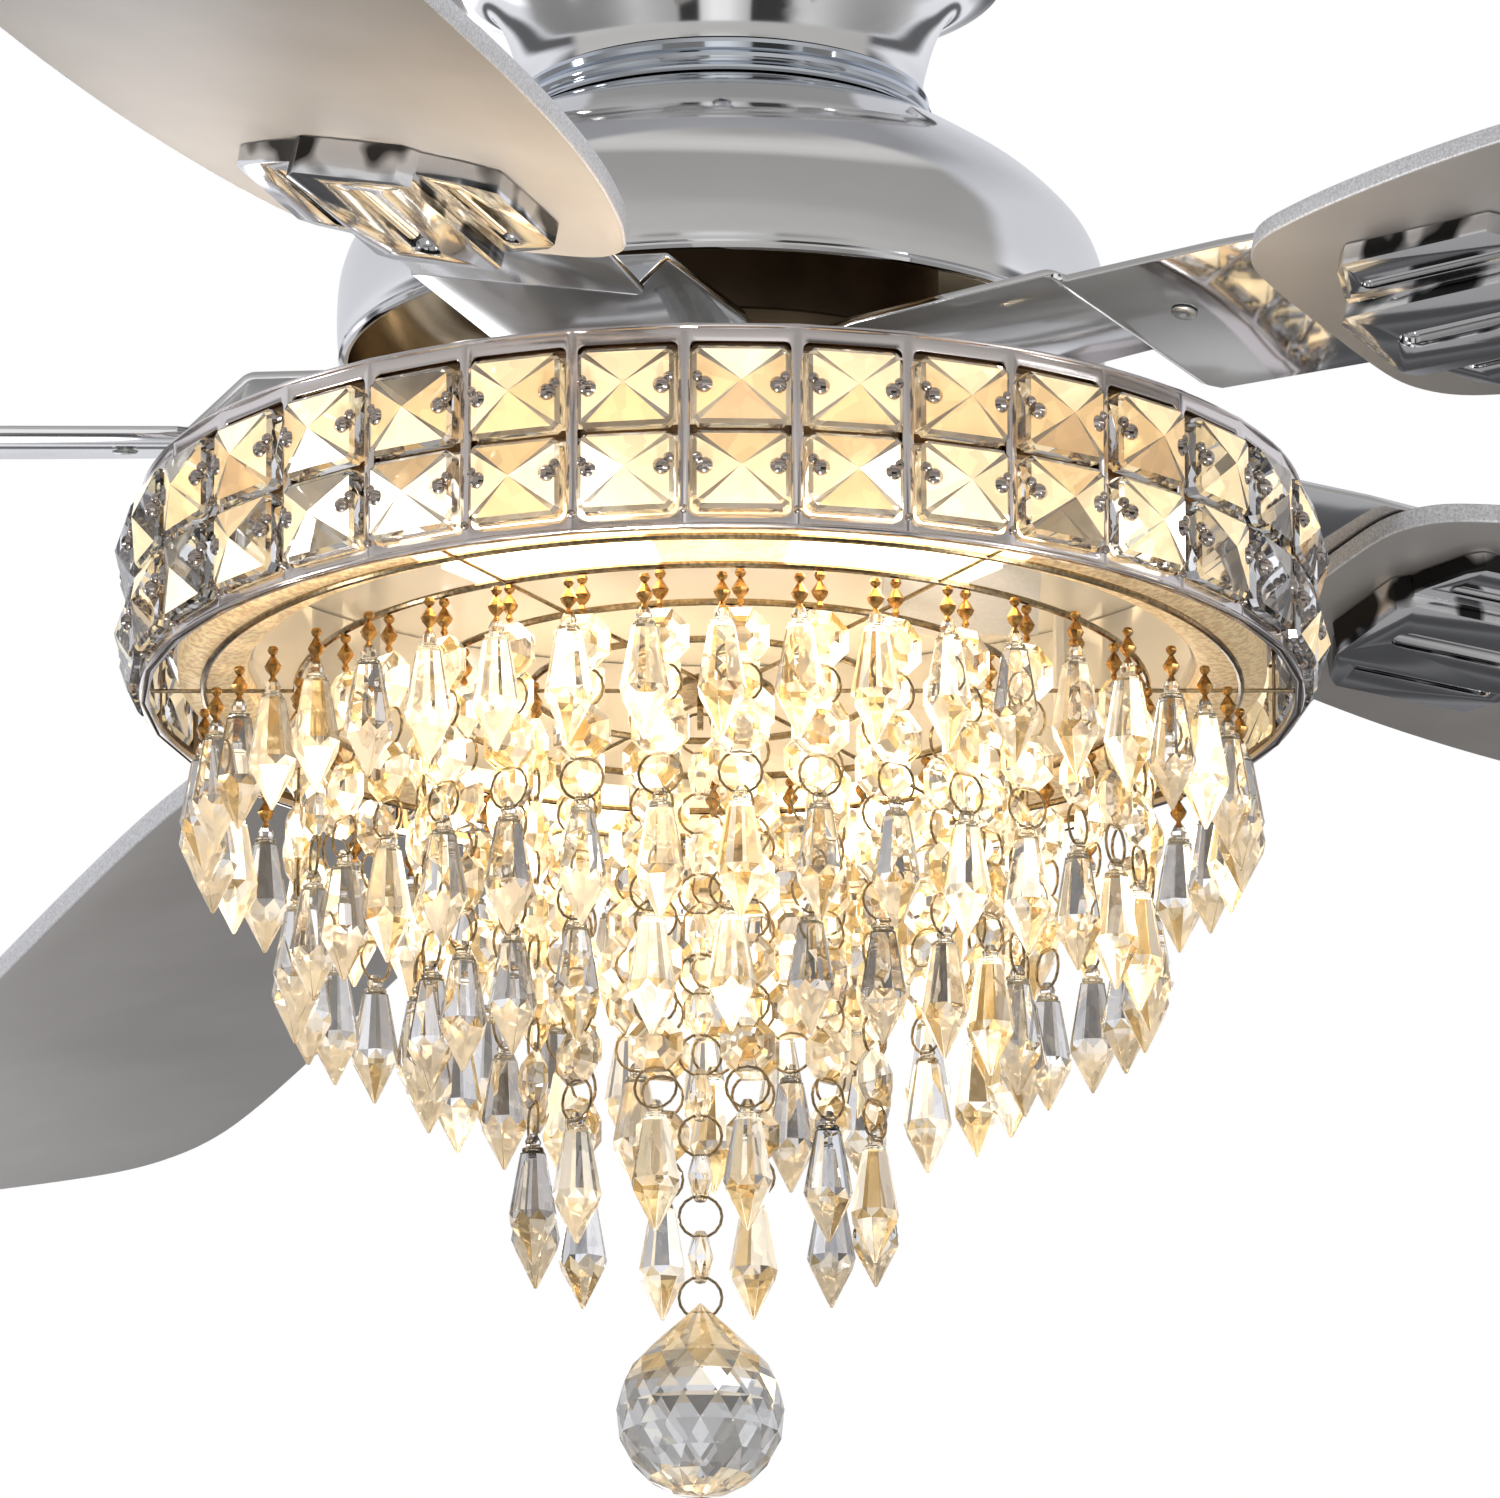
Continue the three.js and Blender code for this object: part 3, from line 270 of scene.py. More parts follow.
chrome = polished_chrome("polished_chrome", (0.80, 0.80, 0.81), 0.055)
collar_chrome = polished_chrome("collar_chrome", (0.60, 0.64, 0.70), 0.04)
band_chrome = polished_chrome("band_chrome", (0.80, 0.745, 0.73), 0.16)
# The bell's darker brown inside is painted shade.
bell_shade_chrome = polished_chrome("bell_shade_inside", (0.62, 0.50, 0.34), 0.14)
# Dark brown chrome for the drum's window walls and inside: painted shade.
window_wall_shade = polished_chrome("window_wall_shade", (0.24, 0.17, 0.11), 0.12)
# A very dark brown for rings of painted shade inside the drum.
shade_strip_metal = polished_chrome("shade_strip_metal", (0.13, 0.085, 0.05), 0.2)
pin_metal = polished_chrome("pin_metal", (0.50, 0.44, 0.40), 0.05)
bright_plate = polished_chrome("bright_plate", (0.62, 0.62, 0.63), 0.08)
# Painted reflection: black and white streaks for the medallions' steep walls.
painted_reflection_walls = painted_reflection_chrome()
plated = grained("plated_steel", (0.52, 0.54, 0.55), (0.68, 0.69, 0.68), 600, 3,
                 gloss=(0.26, 0.14), bump=(0.1, 0.0002), Metallic=1.0).data
core = grained("core_steel", (0.26, 0.27, 0.28), (0.48, 0.48, 0.49), 60, 2, gloss=(0.32, 0.2),
               bump=(0.3, 0.0003), stops=(0.35, 0.65), stretch=(1, 1, 60), Metallic=1.0).data
copper = grained("copper_winding", (0.36, 0.13, 0.05), (0.74, 0.33, 0.15), 120, 2,
                 bump=(0.6, 0.0006), stretch=(1, 1, 12), Metallic=0.9, Roughness=0.3).data
dark = grained("dark_metal", (0.20, 0.14, 0.085), (0.34, 0.25, 0.16), 45, 5, gloss=(0.3, 0.2),
               bump=(0.1, 0.0004), stops=(0.3, 0.75), Metallic=0.85).data
wire = grained("warm_wire", (0.20, 0.14, 0.07), (0.46, 0.36, 0.22), 900, 3, gloss=(0.14, 0.1),
               Metallic=1.0).data
pins_gold = grained("gold_pin", (0.26, 0.11, 0.03), (0.66, 0.38, 0.12), 700, 3,
                    gloss=(0.18, 0.1), Metallic=1.0).data
print("metal finishes:", len(bpy.data.materials))

# %% [markdown]
# The blades are wood fibre under a satin silver paint. It is metallic enough to take the room's
# tone, and it has a fine flake and a soft cloudiness. Their edges show a coarser flake.

# %% Blade paint, plain paint and plastics
def satin_silver():
    finish = Finish("satin_silver", Metallic=0.72)
    flake = finish.noise(1400, detail=2)
    cloud = finish.noise(30, detail=5)
    stops = [(0.3, (0.47, 0.445, 0.42)), (0.72, (0.53, 0.505, 0.48))]
    finish.set("Base Color", finish.colors(cloud, stops))
    finish.set("Roughness", 0.42 + cloud * 0.1 + flake * 0.04)
    finish.bump(flake, strength=0.04, distance=0.0001)
    return finish.data


silver = satin_silver()
edge_silver = grained("flaked_edge", (0.58, 0.58, 0.59), (0.88, 0.88, 0.90), 1500, 3,
                      gloss=(0.3, 0.2), bump=(0.35, 0.0003), stops=(0.35, 0.65),
                      roughness=0.6, Metallic=0.45).data
gloss_paint = grained("white_paint", (0.80, 0.78, 0.73), (0.87, 0.85, 0.81), 50, 4,
                      gloss=(0.3, 0.15), Coat_Weight=1.0, Coat_Roughness=0.04, Coat_IOR=2.2)
gloss_paint.bump(gloss_paint.noise(700, detail=2), strength=0.08, distance=0.0002)
paint = gloss_paint.data
white_plastic, black_plastic = [
    grained(name, low, high, 900, 2, gloss=(0.4, 0.15), bump=(0.2, 0.0002)).data
    for name, low, high in (("white_plastic", (0.78, 0.78, 0.76), (0.86, 0.86, 0.84)),
                            ("black_plastic", (0.012, 0.012, 0.014), (0.03, 0.03, 0.033)))]
print("finishes so far:", len(bpy.data.materials))

# %% [markdown]
# The light source is a ring of frosted strip. It glows by itself along four arcs, and the rest
# of it is plain frosted cover.

# %% The glowing strip
GLOW_STRENGTH = 7.5
GLOW_COLOR = (1.0, 0.78, 0.50)
GLOW_RESTING = 0.035
GLOW_BETWEEN = 0.11
LIT_FROM_DEGREES = 8.5
LIT_TO_DEGREES = 35
LIT_SOFT_DEGREES = 0.6


def warm_diffuser():
    """Lit along two arcs at the front and two at the back, with a weak glow between each two."""
    finish = Finish("warm_diffuser", Roughness=0.4, Metallic=0.4)
    across, deep = [part.math("ABSOLUTE", part) for part in finish.split(finish.place())[:2]]
    angle = across.math("ARCTAN2", across, deep)

    def past(degrees):
        return finish.rise(angle, math.radians(degrees - LIT_SOFT_DEGREES),
                           math.radians(degrees + LIT_SOFT_DEGREES))

    started = past(LIT_FROM_DEGREES)
    lit = started * (1 - past(LIT_TO_DEGREES))
    level = GLOW_RESTING + (1 - started) * GLOW_BETWEEN + lit * (1 - GLOW_RESTING)
    stops = [(0.4, (0.50, 0.33, 0.12)), (0.6, (0.86, 0.66, 0.36))]
    finish.set("Base Color", finish.colors(finish.noise(700, detail=2), stops))
    finish.set("Emission Color", finish.mixed(level * part for part in GLOW_COLOR))
    finish.set("Emission Strength", GLOW_STRENGTH)
    return finish.data


diffuser = warm_diffuser()
print("lit from", LIT_FROM_DEGREES, "to", LIT_TO_DEGREES, "degrees")

# %% [markdown]
# Cut crystal is clear glass with flat, sharp facets, and refraction does most of the work. In the
# lamps' light the crystals show cream points, amber and tan facets and clear ones, so each facet
# takes one of a few shades; every shade but clear, with its glow, is painted light or shade, the
# warm lamp light and the dark room seen in clear glass. Straight-edged cells of lighter and darker
# tone are painted reflections, standing for the facets seen through the glass. Near the lamps the
# glass also carries a painted warm glow that fades downwards and outwards.

# %% Cut crystal
CRYSTAL_IOR = 1.52
CELL_SCALE = 210
CELL_DARKEST = 0.72
CELL_GLOW_LOW = 0.62
CELL_GLOW_RANGE = 0.76
CORE_NEAR, CORE_FAR = 0.055, 0.155
CORE_LOW, CORE_HIGH = -0.275, -0.20
WARM = (1.0, 0.80, 0.50)


def cut_crystal(name, contrast, stretch, tint, clear=1.0, glow=WARM, strength=0, core_glow=0):
    finish = Finish(name, Roughness=0.0, IOR=CRYSTAL_IOR, Transmission_Weight=clear)
    inside = finish.cells(CELL_SCALE, stretch)
    if contrast < 1:
        inside = inside * contrast + (1 - contrast) / 2
    low = tuple(part * CELL_DARKEST for part in tint)
    finish.set("Base Color", finish.colors(inside, [(0.0, low), (0.3, tint)]))
    # Painted light: the glass glows though it is no lamp, most near the lamps.
    if strength + core_glow:
        x, y, z = finish.split(finish.place())
        away = (x * x + y * y) ** 0.5
        core = (1 - finish.rise(away, CORE_NEAR, CORE_FAR)) * finish.rise(z, CORE_LOW, CORE_HIGH)
        level = (strength + core * core_glow) * (CELL_GLOW_LOW + inside * CELL_GLOW_RANGE)
        peak = (strength + core_glow) * (CELL_GLOW_LOW + CELL_GLOW_RANGE)
        share = level * (1 / peak)
        finish.set("Emission Color", finish.mixed(share * part for part in glow))
        finish.set("Emission Strength", peak)
    return finish.data


def glass_set(family, contrast, stretch, shades):
    """The shades of one family: name, tint, clearness, glow colour, glow, and glow by the lamps."""
    return [cut_crystal(f"{family}_{name}", contrast, stretch, *values)
            for name, *values in shades]


# Every shade but the clear one is painted light or shade, with its glow: lamp light, dark room and
# bright glitter seen in clear glass.
drum_glass = glass_set("drum", 0.5, (1, 1, 1), [
    ("clear", (0.93, 0.93, 0.93)),
    ("white", (1.0, 0.94, 0.80), 0.6, (1.0, 0.86, 0.54), 0.8),
    ("cream", (1.0, 0.85, 0.60), 0.6, (1.0, 0.75, 0.40), 0.69),
    ("amber", (0.94, 0.70, 0.40), 0.6, (1.0, 0.63, 0.27), 0.53),
    ("tan", (0.70, 0.50, 0.29), 0.6, (0.88, 0.52, 0.22), 0.35),
    ("smoke", (0.50, 0.49, 0.49), 0.85),
    ("spark", (1.0, 0.98, 0.92), 0.4, (1.0, 0.93, 0.76), 2.5),
])
drop_glass = glass_set("drop", 1, (2.4, 2.4, 0.75), [
    ("clear", (0.96, 0.96, 0.97), 1.0, WARM, 0, 0.1),
    ("smoke", (0.50, 0.46, 0.42), 0.9, WARM, 0, 0.03),
    ("cream", (1.0, 0.89, 0.70), 0.7, (1.0, 0.80, 0.54), 0.14, 0.3),
    ("amber", (0.80, 0.56, 0.24), 0.8, (1.0, 0.64, 0.22), 0.02, 0.2),
    ("spark", (1.0, 0.99, 0.95), 0.5, (1.0, 0.90, 0.70), 0.4, 1.6),
])
ball_glass = glass_set("ball", 1, (1, 1, 1), [
    ("clear", (0.84, 0.845, 0.845), 0.8),
    ("cream", (1.0, 0.88, 0.68), 0.7, (1.0, 0.80, 0.5), 0.2),
    ("amber", (0.92, 0.72, 0.42), 0.8, (0.95, 0.62, 0.26), 0.12),
    ("smoke", (0.48, 0.46, 0.43), 0.85),
    ("glint", (1.0, 0.95, 0.7), 0.5, (1.0, 0.88, 0.42), 3.0),
])
print("finishes ready:", len(bpy.data.materials))

# %% [markdown]
# Every new piece goes through the same door: its mesh is finished, it gets its material, it rides
# on a body, and it hides the plain solid that it stands for.

# %% Finishing a piece
SMOOTH_DEGREES = 32


def mesh_of(bm, name):
    """A bmesh stored as a mesh, to show or to stamp from."""
    data = bpy.data.meshes.new(name)
    bm.to_mesh(data)
    bm.free()
    return data


def piece(name, bm, materials, body, replaced=(), smooth=SMOOTH_DEGREES):
    data = mesh_of(bm, name)
    if smooth:
        data.shade_smooth()
        data.set_sharp_from_angle(angle=math.radians(smooth))
    for material in materials:
        data.materials.append(material)
    made = placed(name, data)
    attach(made, body)
    if replaced:
        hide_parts(*replaced)
    print(name, len(data.polygons), "faces")


print("edges are smoothed up to", SMOOTH_DEGREES, "degrees")

# %% [markdown]
# Much of the fan is turned about one axis. A modifier could do that too, but a profile spun in a
# bmesh leaves plain faces that can be coloured one by one. A curve through a few measured points
# gives a profile its smooth stretches.

# %% Turned shapes
TURNED_STEPS = 160


def outwards(bm):
    bmesh.ops.recalc_face_normals(bm, faces=bm.faces)
    return bm


def spun(profile, steps=TURNED_STEPS):
    """A closed [radius, height] profile in millimetres, spun about the axis."""
    bm = bmesh.new()
    corners = [bm.verts.new((radius * MM, 0, height * MM)) for radius, height in profile]
    edges = [bm.edges.new((a, b)) for a, b in zip(corners, corners[1:] + corners[:1])]
    bmesh.ops.spin(bm, geom=corners + edges, cent=(0, 0, 0), axis=(0, 0, 1),
                   angle=2 * math.pi, steps=steps, use_merge=True)
    bmesh.ops.remove_doubles(bm, verts=bm.verts, dist=1e-7)
    return outwards(bm)


def curve_through(points, parts):
    """A smooth open curve through points, with each stretch cut into parts."""
    ends = [points[0] * 2 - points[1]] + points + [points[-1] * 2 - points[-2]]
    path = []
    for before, start, stop, after in zip(ends, ends[1:], ends[2:], ends[3:]):
        for step in range(parts):
            t = step / parts
            bend = 2 * before - 5 * start + 4 * stop - after
            twist = 3 * start - before - 3 * stop + after
            path.append(0.5 * (2 * start + (stop - before) * t + bend * t * t + twist * t ** 3))
    return path + [points[-1]]


def smooth_profile(points, parts=6):
    """The same for [radius, height] pairs."""
    path = curve_through([Vector((a, 0, b)) for a, b in points], parts)
    return [(spot.x, spot.z) for spot in path]


def span(name):
    """A built piece's outer radius, bottom and top in millimetres."""
    low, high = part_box(name)
    return high[0] / MM, low[2] / MM, high[2] / MM


print("turned shapes have", TURNED_STEPS, "steps")

# %% [markdown]
# The canopy, the collar and the motor housing are turned sheet metal, so each is one profile spun
# about the axis. Their walls are thin, and the profile goes up the outside and back down the
# inside.

# %% Canopy, collar and housing
WALL = 1.3
NECK_RADIUS = 46.2
RIM_RADIUS = 64.6
COLLAR_BORE = 38.2
SHAFT_HOLE = 8.6


def canopy_shell():
    """A trumpet: a flat rim at the ceiling that flares in to a straight neck."""
    _, low, top = span("canopy")
    flare = [(65.2, -3.4), (60.2, -4.6), (54.8, -8.2), (50.2, -16), (47.2, -26), (NECK_RADIUS, low)]
    rim = [(RIM_RADIUS, top), (65.8, top - 0.8), (66, top - 1.8), (65.8, -2.8)]
    outside = rim + smooth_profile(flare)
    inside = [(radius - WALL, height) for radius, height in reversed(outside[3:])]
    return spun(outside + inside + [(RIM_RADIUS - WALL, top)])


def collar_rings():
    """Three stepped beads under the neck, each with a rounded nose."""
    _, low, top = span("collar")
    steps = [(46.4, 0), (47.6, 0.5), (48, 1.6), (47.6, 2.8), (46.9, 3.3), (47.2, 3.9), (48.7, 4.3),
             (49.1, 5.4), (48.7, 6.4), (48.2, 6.9), (48.6, 7.3), (49.6, 7.6)]
    foot = [(49.9, low + 0.5), (49.4, low), (COLLAR_BORE, low), (COLLAR_BORE, top)]
    return spun([(radius, top - down) for radius, down in steps] + foot)


def housing_bell():
    """The bell: bright outside, darker inside where shade is painted, with a rolled bright lip."""
    low, top = housing_low, housing_high
    bell = [(49.2, top), (57, -46), (65, -51), (73, -56.5), (80, -63), (85.2, -69.6), (88, -77),
            (88.8, -85), (88.7, -91.6), (88.3, low + 2.2)]
    lip = [(88.0, low + 2.0), (88.5, low + 1.1), (88.1, low + 0.3), (87.2, low),
           (86.3, low + 0.2), (86.2, low + 1.6)]
    bell_inside = [(radius - WALL, height - WALL * 0.6) for radius, height in bell]
    inside = list(reversed(smooth_profile(bell_inside[:-1])))
    return spun([(SHAFT_HOLE, top)] + smooth_profile(bell) + lip + inside
                + [(SHAFT_HOLE, top - WALL)])


def paint_shade_inside(bm):
    """Gives the faces that look towards the axis, and the undersides, the second material: a darker
    brown chrome of painted shade.
    """
    for face in bm.faces:
        middle = face.calc_center_median()
        inward = face.normal.x * middle.x + face.normal.y * middle.y
        underside = face.normal.z < -0.2 and middle.z > (housing_low + 3) * MM
        if inward < -1e-5 or underside:
            face.material_index = 1


_, housing_low, housing_high = span("motor_housing")
piece("canopy_shell", canopy_shell(), [chrome], "fan_body", ["canopy"])
piece("collar_rings", collar_rings(), [collar_chrome], "fan_body", ["collar"])
bell = housing_bell()
paint_shade_inside(bell)
bell_finishes = [chrome, bell_shade_chrome]
piece("housing_bell", bell, bell_finishes, "fan_body", ["motor_housing"])

# %% [markdown]
# Under the bell the motor's outer shell turns with the blades. It is a dark can with a raised
# shoulder, and the flywheel under it is a disc that the blade arms are screwed to.

# %% Motor can and flywheel
CAN_BORE = 15.3
FLYWHEEL_BORE = 22

radius, low, top = span("rotor_shell")
can = [(CAN_BORE, top), (40.5, top), (43, top - 0.8), (radius - 0.8, top - 6.2), (radius, top - 8),
       (radius, low + 1.4), (radius - 1.2, low), (CAN_BORE, low)]
piece("motor_can", spun(can), [dark], "rotor", ["rotor_shell"])
radius, low, top = span("flywheel")
disc = [(FLYWHEEL_BORE, top), (radius - 0.8, top), (radius, top - 0.8), (radius, low + 0.8),
        (radius - 0.8, low), (FLYWHEEL_BORE, low)]
piece("flywheel_disc", spun(disc), [dark], "rotor", ["flywheel"])

# %% [markdown]
# Five blades stand round the axis at equal angles, each pitched about its own length. One place
# matrix per blade turns a piece made along X into its seat, and the pieces keep their place in
# their mesh.

# %% Where the blades stand
BLADE_COUNT = 5
BLADE_FIRST_DEGREES = 35
BLADE_PITCH_DEGREES = 12
BLADE_PLANE_BELOW_FLYWHEEL = 15.7
BLADE_THICKNESS = 5.0
blade_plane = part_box("flywheel")[0][2] - BLADE_PLANE_BELOW_FLYWHEEL * MM


def arm_place(number):
    angle = BLADE_FIRST_DEGREES + 360 / BLADE_COUNT * (number - 1)
    return Matrix.Translation((0, 0, blade_plane)) @ turned(angle)


def blade_place(number):
    return arm_place(number) @ turned(-BLADE_PITCH_DEGREES, "X")


def stamp(bm, pattern, place=Matrix.Identity(4)):
    """Adds a copy of a pattern at a place."""
    before = len(bm.verts)
    bm.from_mesh(pattern)
    bm.verts.ensure_lookup_table()
    bmesh.ops.transform(bm, matrix=place, verts=bm.verts[before:])


def per_blade(pattern, stem, materials, place, replaced):
    for number in range(1, BLADE_COUNT + 1):
        bm = bmesh.new()
        stamp(bm, pattern, place(number))
        piece(f"{stem}_{number}", bm, materials, "rotor", [f"{replaced}_{number}"])


print("blade plane", round(blade_plane, 4), "m")

# %% [markdown]
# A blade is a flat board with a rounded root, nearly parallel sides and soft tip corners. Its
# outline is a smooth curve through a row of widths, raised to the board's thickness. The rim has
# a small round, and the flaked silver of the edge is a second material.

# %% The blades
BLADE_WIDTHS = [(169, 0), (169, 14), (170, 27), (173.5, 34.5), (180, 40), (191, 44), (208, 48.4),
                (235, 53.6), (268, 57.6), (310, 60), (380, 61), (470, 61), (560, 60.6), (610, 59),
                (636, 55), (651, 47), (658, 36), (660, 20), (660, 0)]
BLADE_ROUND = 0.7


def points_in(geometry):
    return [item for item in geometry if isinstance(item, bmesh.types.BMVert)]


def raised_outline(outline, height):
    """A flat outline lifted to a closed solid."""
    bm = bmesh.new()
    face = bm.faces.new([bm.verts.new(spot * MM) for spot in outline])
    made = bmesh.ops.extrude_face_region(bm, geom=[face])
    bmesh.ops.translate(bm, vec=(0, 0, height * MM), verts=points_in(made["geom"]))
    return outwards(bm)


def bevel(bm, geometry, width, segments, affect="EDGES"):
    bmesh.ops.bevel(bm, geom=geometry, offset=width * MM, offset_type="OFFSET", segments=segments,
                    affect=affect, profile=0.5, material=-1, clamp_overlap=True)


def rounded(bm, width, segments, sharp_degrees):
    """Bevels every edge that is sharper than the angle."""
    bevel(bm, [edge for edge in bm.edges if edge.is_manifold
               and edge.calc_face_angle(0) > math.radians(sharp_degrees)], width, segments)


def blade_board():
    half = curve_through([Vector((along, out, 0)) for along, out in BLADE_WIDTHS], 4)
    mirrored = [Vector((spot.x, -spot.y, 0)) for spot in reversed(half[1:-1])]
    bm = raised_outline(half + mirrored, BLADE_THICKNESS)
    for wall in bm.faces:
        if abs(wall.normal.z) < 0.5:
            wall.material_index = 1
    rounded(bm, BLADE_ROUND, 3, sharp_degrees=60)
    return mesh_of(bm, "blade_board")


blade_finishes = [silver, edge_silver]
per_blade(blade_board(), "silver_blade", blade_finishes, blade_place, "blade")

# %% [markdown]
# The arm is one sheet of polished steel. It lies level under the flywheel, drops at a slanted
# fold, and goes on as a tab at the blade's pitch. The sheet starts as three flat faces that share
# their creases, then gets its thickness and soft edges.

# %% The blade arms
IRON_THICKNESS = 2.0
SEAT_GAP = 0.3
FOLD_ROUND = 1.1
IRON_ROUND = 0.35
HUB_HEIGHT = BLADE_PLANE_BELOW_FLYWHEEL - SEAT_GAP - IRON_THICKNESS
TAB_HEIGHT = BLADE_THICKNESS + SEAT_GAP
HUB_OUTLINE = [(42, -28), (61.8, -32.5), (117.4, -34), (107.5, 24), (61.8, 26.8), (42, 23.5)]
TAB_OUTLINE = [(121.4, 20.1), (120, -33.4), (163, -33.4), (220, -30.1), (240, -18.4), (240, 15),
               (220, 23.4), (163, 26.4), (124.4, 23.4)]


def face_towards(bm, direction):
    """Turns all faces of a sheet so that the first one looks in the direction."""
    outwards(bm)
    if bm.faces[:][0].normal.dot(Vector(direction)) < 0:
        bmesh.ops.reverse_faces(bm, faces=bm.faces)


def on_pitch(along, across, height):
    pitch = math.radians(-BLADE_PITCH_DEGREES)
    return Vector((along, across * math.cos(pitch) - height * math.sin(pitch),
                   across * math.sin(pitch) + height * math.cos(pitch)))


def blade_arm():
    bm = bmesh.new()
    hub = [bm.verts.new(Vector((along, across, HUB_HEIGHT)) * MM) for along, across in HUB_OUTLINE]
    tab = [bm.verts.new(on_pitch(along, across, TAB_HEIGHT) * MM) for along, across in TAB_OUTLINE]
    for corners in (hub, (hub[2], tab[1], tab[0], hub[3]), tab):
        bm.faces.new(corners)
    face_towards(bm, (0, 0, 1))
    bevel(bm, [edge for edge in bm.edges if len(edge.link_faces) == 2], FOLD_ROUND, 4)
    bmesh.ops.solidify(bm, geom=bm.faces[:], thickness=-IRON_THICKNESS * MM)
    rounded(outwards(bm), IRON_ROUND, 2, sharp_degrees=70)
    return mesh_of(bm, "blade_arm")


per_blade(blade_arm(), "blade_arm", [chrome], arm_place, "blade_iron")

# %% [markdown]
# Each arm has a round-headed screw in its tab, with a nut behind.

# %% The arm screws
SCREW_ALONG = 138
SCREW_ACROSS = -11


def moved(x, y, z):
    """A move given in millimetres."""
    return Matrix.Translation(Vector((x, y, z)) * MM)


def round_screw():
    head = TAB_HEIGHT - SEAT_GAP
    nut = TAB_HEIGHT + IRON_THICKNESS + SEAT_GAP
    profile = [(0, nut + 2.4), (2.6, nut + 2.4), (3.4, nut + 2), (3.4, nut + 0.3), (3.1, nut),
               (1.9, nut), (1.9, head), (3.0, head), (3.0, head - 0.3), (2.6, head - 0.6),
               (1.2, head - 0.75), (0.6, head - 0.1), (0, head - 0.1)]
    bm = spun(profile, 28)
    bmesh.ops.transform(bm, matrix=moved(SCREW_ALONG, SCREW_ACROSS, 0), verts=bm.verts)
    return mesh_of(bm, "round_screw")


per_blade(round_screw(), "arm_screw", [plated], blade_place, "iron_screw")

# %% [markdown]
# Under each blade root sits a moulded plate with a chrome finish: a middle pad stands lowest,
# with a shallower pad on each side, and each pad has a long round-ended groove. The pads are
# raised outlines, and the grooves are cut with a boolean before the rims are bevelled.

# %% The medallions
MIDDLE_PAD = 8.5
SIDE_PAD = 5.0
PAD_OUTLINES = [
    (MIDDLE_PAD, [(184, -12), (187, -15), (245, -15), (249, -12),
                  (249, 12), (246, 15), (187, 15), (184, 12)]),
    (SIDE_PAD, [(187, -13), (188.5, -18), (193.5, -28), (197, -31), (236, -31), (241, -24),
                (246, -13)]),
    (SIDE_PAD, [(246, 13), (241, 24), (236, 31), (198, 31), (194, 28), (188.5, 18), (187, 13)]),
]
GROOVES = [(MIDDLE_PAD, 216, 0, 48, 6.8), (SIDE_PAD, 216, -20.5, 42, 3.8),
           (SIDE_PAD, 216, 20.5, 40, 3.8)]
PAD_ROUND = 0.7


def wrap(bm):
    """Puts the tightest closed skin round the points."""
    bmesh.ops.delete(bm, geom=bm.edges[:], context="EDGES_FACES")
    made = bmesh.ops.convex_hull(bm, input=bm.verts[:])
    bmesh.ops.delete(bm, geom=points_in(made["geom_interior"]), context="VERTS")


def groove_cutter(height, along, across, length, width):
    """A long capsule that lies half in the pad's face."""
    bm = bmesh.new()
    for side in (-1, 1):
        end = moved(along + side * (length - width) / 2, across, -SEAT_GAP - height)
        bmesh.ops.create_uvsphere(bm, u_segments=20, v_segments=12, radius=width / 2 * MM,
                                  matrix=end)
    wrap(bm)
    return outwards(bm)


def temporary(bm, name):
    return placed(name, mesh_of(bm, name))


def carved(base, others, operation):
    """Applies a boolean of each other object to the base and returns the mesh as a bmesh."""
    for other in others:
        cut = base.modifiers.new(other.name, "BOOLEAN")
        cut.operation = operation
        cut.object = other
        cut.solver = "EXACT"
    shaped = base.evaluated_get(bpy.context.evaluated_depsgraph_get()).to_mesh()
    bm = bmesh.new()
    bm.from_mesh(shaped)
    for used in [base] + others:
        bpy.data.objects.remove(used)
    bmesh.ops.remove_doubles(bm, verts=bm.verts, dist=1e-6)
    bmesh.ops.dissolve_limit(bm, angle_limit=math.radians(1), verts=bm.verts, edges=bm.edges)
    return bm


def medallion_plate():
    pads = [temporary(raised_outline([Vector((x, y, -SEAT_GAP)) for x, y in outline], -height),
                      f"pad_{index}") for index, (height, outline) in enumerate(PAD_OUTLINES)]
    joined = temporary(carved(pads[0], pads[1:], "UNION"), "joined_pads")
    cutters = [temporary(groove_cutter(*groove), f"groove_{index}")
               for index, groove in enumerate(GROOVES)]
    bm = carved(joined, cutters, "DIFFERENCE")
    rounded(bm, PAD_ROUND, 2, sharp_degrees=50)
    # The steep walls take the second material, whose black and white streaks are a painted
    # reflection.
    for face in bm.faces:
        if abs(face.normal.z) < 0.35:
            face.material_index = 1
    return mesh_of(bm, "medallion_plate")


per_blade(medallion_plate(), "medallion_plate", [bright_plate, painted_reflection_walls],
          blade_place, "medallion")

# %% [markdown]
# The drum is a band of chromed sheet with one tall window for each column of crystals. One
# column is a flat panel: a window with round corners, bridged to the panel's edge. It is stamped
# round the axis, and the band that this makes is merged, thickened and rounded.

# %% The drum's band
DRUM_COLUMNS = 33
DRUM_PHASE_DEGREES = 1.8
DRUM_RADIUS = 133.6
DRUM_WALL = 1.2
BAR_WIDTH = 2.8
TOP_BAND = 4.3
BOTTOM_BAND = 3.3
WINDOW_CORNER = 1.6
SHEET_ROUND = 0.25
CRYSTAL_GAP = 0.45
BEAD_RADIUS = 0.62
BEAD_INSET = 0.5
